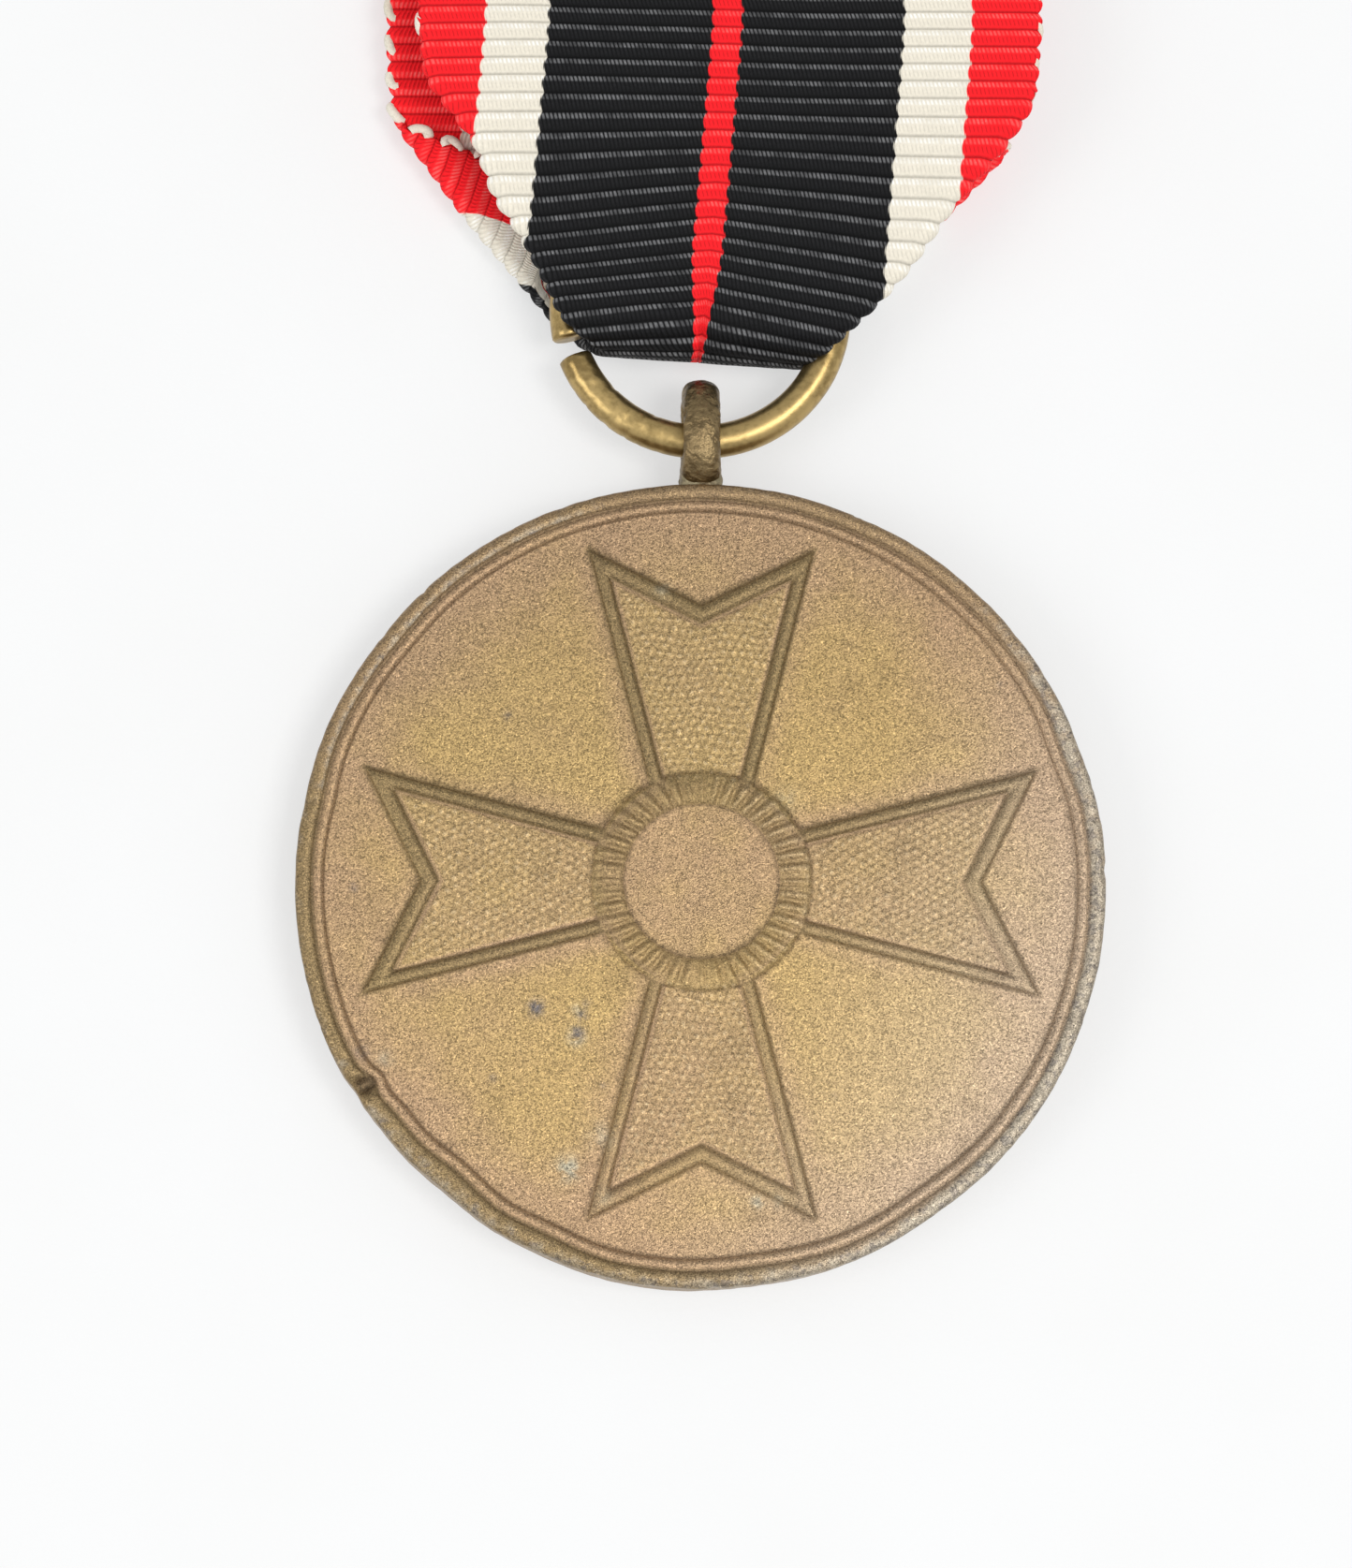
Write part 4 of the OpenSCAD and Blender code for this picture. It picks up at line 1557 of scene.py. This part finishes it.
    def surface(self) -> tuple:
        """The middle surface of the sheet.

        Returns:
            Points, outward normals, material distance across and arc length, on a grid.
        """
        y, z, sigma = RibbonPath().build()
        drift = self.along_line(sigma, self.back_drift, self.front_drift, 14)
        left = [v[:, ::-1] for v in self.fold(Side.LEFT, sigma, drift)]
        right = [v[:, 1:] for v in self.fold(Side.RIGHT, sigma, drift)]
        across, x, s, depth = (np.concatenate(pair, 1) for pair in zip(left, right))
        arc = self.woven(across, sigma[:, None])
        edge = ease(abs(across), self.width / 2 - 0.7, self.width / 2) * (depth < 0.01)
        x = x + np.sign(across) * edge * (self.edge_scallop * self.swell(arc) - 0.06)
        away = x - drift[:, None]
        x = x - ease(abs(sigma), 5.5, 0.5)[:, None] * self.pleat * away * np.exp(-(away / 1.3) ** 2)
        run = np.clip(s, sigma[0], sigma[-1])
        dy, dz = np.gradient(y, sigma), np.gradient(z, sigma)
        size = np.hypot(dy, dz)
        ty, tz = np.interp(run, sigma, dy / size), np.interp(run, sigma, dz / size)
        # the fold at the ring lies higher on the left, and a touch higher in the middle
        tilt = (0.28 - 0.06 * x + 0.04 * np.exp(-(away / 0.6) ** 2)) * ease(abs(s), 8.0, 1.0)
        py = np.interp(run, sigma, y) + (s - run) * ty + depth * tz + tilt
        pz = np.interp(run, sigma, z) + (s - run) * tz - depth * ty
        # the front layer waves a little between the ring and the brooch
        loose = ease(py, 24, 30) * ease(py, 54, 47)
        pz = pz + 0.07 * loose * ripple(x, py * 0.6, 11.0, 62) * (pz > 1.6)
        points = np.stack([x, py, pz], -1)
        normal = np.cross(np.gradient(points, axis=1), np.gradient(points, axis=0))
        length = np.linalg.norm(normal, axis=-1, keepdims=True)
        return points, normal / np.maximum(length, 1e-9), across, arc

    def build(self) -> tuple:
        """Makes the sheet and the loops along its edges.

        Returns:
            The sheet and the loops.
        """
        points, normal, across, arc = self.surface()
        begin = math.floor(arc.min() / self.rib_pitch) * self.rib_pitch
        length = arc.max() - begin
        thick = self.half_thick + self.rib_height * self.swell(arc) ** 0.8
        thick = thick + 0.012 * ripple(across, arc, 0.5, 63)
        rim = ease(self.width / 2 - abs(across), -0.05, 0.3)
        offset = normal * (thick * (0.55 + 0.45 * rim))[..., None]
        sides = np.concatenate([(points + offset).reshape(-1, 3), (points - offset).reshape(-1, 3)])
        count, top = across.size, grid_faces(*across.shape)
        number = np.arange(count).reshape(across.shape)
        loop = np.concatenate([number[0, :], number[1:, -1], number[-1, -2::-1], number[-2:0:-1, 0]])
        after = np.roll(loop, -1)
        faces = top.tolist() + (top[:, ::-1] + count).tolist()
        faces += np.stack([after, loop, loop + count, after + count], 1).tolist()
        ob = new_object("ribbon_sheet", sides, faces)
        uv = np.stack([across / self.width + 0.5, (arc - begin) / length], -1).reshape(-1, 2)
        set_map(ob, "strip", np.concatenate([uv, uv]))
        half = uv * (0.3, 0.98)
        set_map(ob, "OFBake", np.concatenate([half + (0.01, 0.01), half + (0.34, 0.01)]))
        finish = StripedRibbon(self.width, length, self.rib_pitch, self.edges)
        ob.data.materials.append(finish.build())
        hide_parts("ribbon_front", "ribbon_turn", "ribbon_back", "ribbon_head", "ribbon_end")
        loops = self.edge_loops(points, arc)
        for piece in (ob, loops):
            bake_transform(piece)
        self.width * MM
        return ob, loops

    def edge_loops(self, points: np.ndarray, arc: np.ndarray) -> bpy.types.Object:
        """Makes the small thread loops along both long edges.

        Args:
            points: grid of the sheet's middle surface.
            arc: arc length on the same grid.

        Returns:
            The loops as one object.
        """
        rng = np.random.default_rng(11)
        every = int(round(2 * self.rib_pitch / (arc[1, 20] - arc[0, 20])))
        bend = np.linspace(-0.12, 1.12, 9) * math.pi
        c, s = np.cos(bend)[:, None], np.sin(bend)[:, None]
        verts, faces = [], []
        for side in Side:
            thick = self.left_loop if side is Side.LEFT else self.right_loop
            outline = squircle(thick, thick, 2.0, 8)
            edge, next_in = (0, 1) if side is Side.LEFT else (-1, -2)
            for row in range(every, len(points) - every, every):
                place = points[row, edge]
                out = place - points[row, next_in]
                along = points[row + 3, edge] - points[row - 3, edge]
                out, along = out / np.linalg.norm(out), along / np.linalg.norm(along)
                up = np.cross(out, along)
                wide = self.loop_span * rng.uniform(0.85, 1.1)
                tall = self.loop_height * rng.uniform(0.75, 1.1)
                lean = rng.uniform(-0.25, 0.25)
                line = place + along * (c * wide / 2 + s * lean) + out * (s * tall - 0.12) + up * c * 0.05
                ahead = np.gradient(line, axis=0)
                ahead /= np.linalg.norm(ahead, axis=1, keepdims=True)
                ups = np.tile(up, (len(bend), 1))
                faces.append(grid_faces(len(bend), 8, wrap_columns=True, start=sum(map(len, verts))))
                verts.append(sweep(line, np.cross(ups, ahead), ups, outline))
        ob = new_object("edge_loops", np.concatenate(verts), np.concatenate(faces).tolist())
        ob.data.materials.append(Thread("picot_thread", (0.74, 0.69, 0.58)).build())
        return ob


# ---------------------------------------------------------------- the brooch

@dataclass
class Brooch:
    """Plate, hinge, needle and catch on the ribbon's back, and the thread that holds them."""

    per_row: int = 4
    length: float = 1.9
    ply_share: float = 0.56
    twist: float = 5.0
    plate: Box = box_of("brooch_plate")
    threads: Box = box_of("stitches")
    brass: TarnishedBrass = TarnishedBrass("brooch_metal", (0.45, 0.35, 0.17), (0.2, 0.15, 0.07), patch=2.4,
                                           bumps=0.015, grain=0.3, roughness=0.36, stretch=(0.3, 1.0, 1.0))
    brass_edges: tuple = (("brooch_plate", 0.12), ("hinge_bracket", 0.06), ("needle_catch", 0.06))
    steel_edges: tuple = (("needle", 0.02), ("hinge_rivet", 0.06))

    def dress(self) -> None:
        """Gives the CAD pieces their finish and softened edges."""
        for finish, pieces in ((self.brass, self.brass_edges), (DrawnSteel(), self.steel_edges)):
            material = finish.build()
            for node, edge in pieces:
                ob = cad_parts[node]
                ob.data.materials.clear()
                ob.data.materials.append(material)
                bevel = ob.modifiers.new("edges", "BEVEL")
                bevel.width = edge * MM
                bevel.segments = 2
                bevel.limit_method = "ANGLE"
                bevel.angle_limit = math.radians(40)
                bevel.harden_normals = True
                log.info("%s dressed", node)

    def stitch_line(self, corner: float, top: float, level: float) -> np.ndarray:
        """One stitch seen from the side: up one hole, over the plate, down the other.

        Args:
            corner: radius of its two corners.
            top: height of its hidden ends.
            level: height of the part that shows.

        Returns:
            Pairs of distance along the row and height.
        """
        half = self.length / 2
        left = [(-half, z) for z in np.linspace(top, level + corner, 8)]
        left += [(-half + corner - corner * math.cos(a), level + corner - corner * math.sin(a))
                 for a in np.linspace(0, math.pi / 2, 6)[1:-1]]
        middle = [(x, level) for x in np.linspace(-half + corner, half - corner, 14)]
        return np.array(left + middle + [(-x, z) for x, z in reversed(left)])

    def build_thread(self) -> bpy.types.Object:
        """Makes the stitches: two twisted plies over the plate and down each hole.

        Returns:
            The thread as one object.
        """
        low, high = self.threads.lo, self.threads.hi
        size = self.plate.lo[2] - low[2]
        line = self.stitch_line(size / 2, high[2] - 0.05, self.plate.lo[2] - size / 2)
        run, count = lengths_along(line), len(line)
        ahead = np.gradient(line, axis=0)
        ahead /= np.hypot(*ahead.T)[:, None]
        side = np.tile((0.0, 1.0, 0.0), (count, 1))
        up = np.stack([-ahead[:, 1], np.zeros(count), ahead[:, 0]], 1)
        outline = squircle(size * self.ply_share, size * self.ply_share, 2.0, 8)
        inset = size / 2 + self.length / 2
        verts, faces = [], []
        for y in (low[1] + size / 2, high[1] - size / 2):
            for x in np.linspace(low[0] + inset, high[0] - inset, self.per_row):
                for ply in (0.0, math.pi):
                    turn = (run * self.twist + ply)[:, None]
                    centre = np.stack([x + line[:, 0], np.full(count, y), line[:, 1]], 1)
                    centre = centre + size * 0.21 * (np.cos(turn) * side + np.sin(turn) * up)
                    faces.append(grid_faces(count, 8, wrap_columns=True, start=sum(map(len, verts))))
                    verts.append(sweep(centre, side, up, outline))
        ob = new_object("sewing_thread", np.concatenate(verts), np.concatenate(faces).tolist())
        return dress_piece(ob, Thread().build(), "head", "thread", "stitches")


# ---------------------------------------------------------------- surroundings

@dataclass(frozen=True)
class SoftLight:
    """A square soft light; azimuth in degrees from -Y towards +X, lengths in millimetres."""

    name: str
    azimuth: float
    elevation: float
    distance: float
    size: float
    watts: float
    colour: tuple = (1.0, 1.0, 1.0)


@dataclass
class Studio:
    """Tabletop, soft light and camera."""

    azimuth: float = -13.6
    elevation: float = 81.0
    distance: float = 174.9
    target: tuple = (-1.03, 3.93, 2.2)
    lens: float = 100.0
    sensor: float = 36.0
    tilt: float = -0.0261
    reach: float = 900.0
    below: float = 0.02
    glow: tuple = (0.97, 0.985, 1.0, 1.0)
    glow_strength: float = 0.70
    lights: tuple = (SoftLight("key", 75.0, 66.0, 520.0, 180.0, 0.95, (1.0, 0.985, 0.96)),
                     SoftLight("fill", 20.0, 66.0, 600.0, 260.0, 0.4),
                     SoftLight("side", -72.0, 42.0, 600.0, 300.0, 0.9))
    disc: Box = box_of("medal_disc")

    def build_floor(self) -> bpy.types.Object:
        """Makes the tabletop under the lowest points.

        Returns:
            The tabletop.
        """
        corners = [(x * self.reach, y * self.reach,
                    self.tilt * (y * self.reach - self.disc.lo[1]) - self.below)
                   for x, y in ((-1, -1), (1, -1), (1, 1), (-1, 1))]
        floor = new_object("tabletop", np.array(corners), [(0, 1, 2, 3)], smooth=False)
        floor.data.materials.append(Tabletop().build())
        return floor

    @staticmethod
    def direction(azimuth: float, elevation: float) -> Vector:
        """Unit vector from the medal towards a place, from its two angles in degrees."""
        a, e = math.radians(azimuth), math.radians(elevation)
        return Vector((math.sin(a) * math.cos(e), -math.cos(a) * math.cos(e), math.sin(e)))

    def put(self, name: str, data: bpy.types.ID, back: Vector, distance: float) -> bpy.types.Object:
        """Links a light or a camera at a distance from the medal.

        Args:
            name: name of the object.
            data: the light or camera.
            back: direction from the medal.
            distance: distance from the target in millimetres.

        Returns:
            The object.
        """
        ob = bpy.data.objects.new(name, data)
        ob.location = (Vector(self.target) + back * distance) * MM
        bpy.context.scene.collection.objects.link(ob)
        return ob

    def build_light(self, light: SoftLight) -> None:
        """Adds one light, aimed at the medal.

        Args:
            light: its sizes, place and power.
        """
        lamp = bpy.data.lights.new(light.name, "AREA")
        lamp.shape = "SQUARE"
        lamp.size = light.size * MM
        lamp.energy = light.watts
        lamp.color = light.colour
        back = self.direction(light.azimuth, light.elevation)
        ob = self.put(light.name, lamp, back, light.distance)
        ob.rotation_euler = back.to_track_quat("Z", "Y").to_euler()

    def build_camera(self) -> None:
        """Adds the camera, upright along the medal's length."""
        shot = bpy.data.cameras.new("camera")
        shot.lens = self.lens
        shot.sensor_fit = "VERTICAL"
        shot.sensor_height = self.sensor
        shot.clip_start, shot.clip_end = 0.005, 10.0
        back = self.direction(self.azimuth, self.elevation)
        up = Vector((0, 1, 0)) - back * back.y
        up.normalize()
        side = up.cross(back)
        ob = self.put("camera", shot, back, self.distance)
        ob.rotation_euler = Matrix([[side[i], up[i], back[i]] for i in range(3)]).to_euler()
        bpy.context.scene.camera = ob

    def build(self) -> None:
        """Sets the floor, the lights, the surroundings' glow and the camera."""
        self.build_floor()
        for light in self.lights:
            self.build_light(light)
        world = bpy.data.worlds.new("studio")
        bpy.context.scene.world = world
        world.use_nodes = True
        background = world.node_tree.nodes["Background"]
        background.inputs["Color"].default_value = self.glow
        background.inputs["Strength"].default_value = self.glow_strength
        self.build_camera()
        bpy.context.scene.view_settings.view_transform = "Standard"


def main() -> None:
    """Builds every part in order."""
    logging.basicConfig(level=logging.INFO, format="%(message)s")
    disc = MedalDisc().build()
    ring = SuspensionRing().build()
    eyelet = Eyelet()
    loop, foot = eyelet.build(), eyelet.build_foot()
    sheet, loops = Ribbon().build()
    brooch = Brooch()
    brooch.dress()
    thread = brooch.build_thread()
    for piece in (disc, ring, loop, foot, sheet, loops, thread):
        log.info("%s: %d faces", piece.name, len(piece.data.polygons))
    Studio().build()


if __name__ == "__main__":
    main()
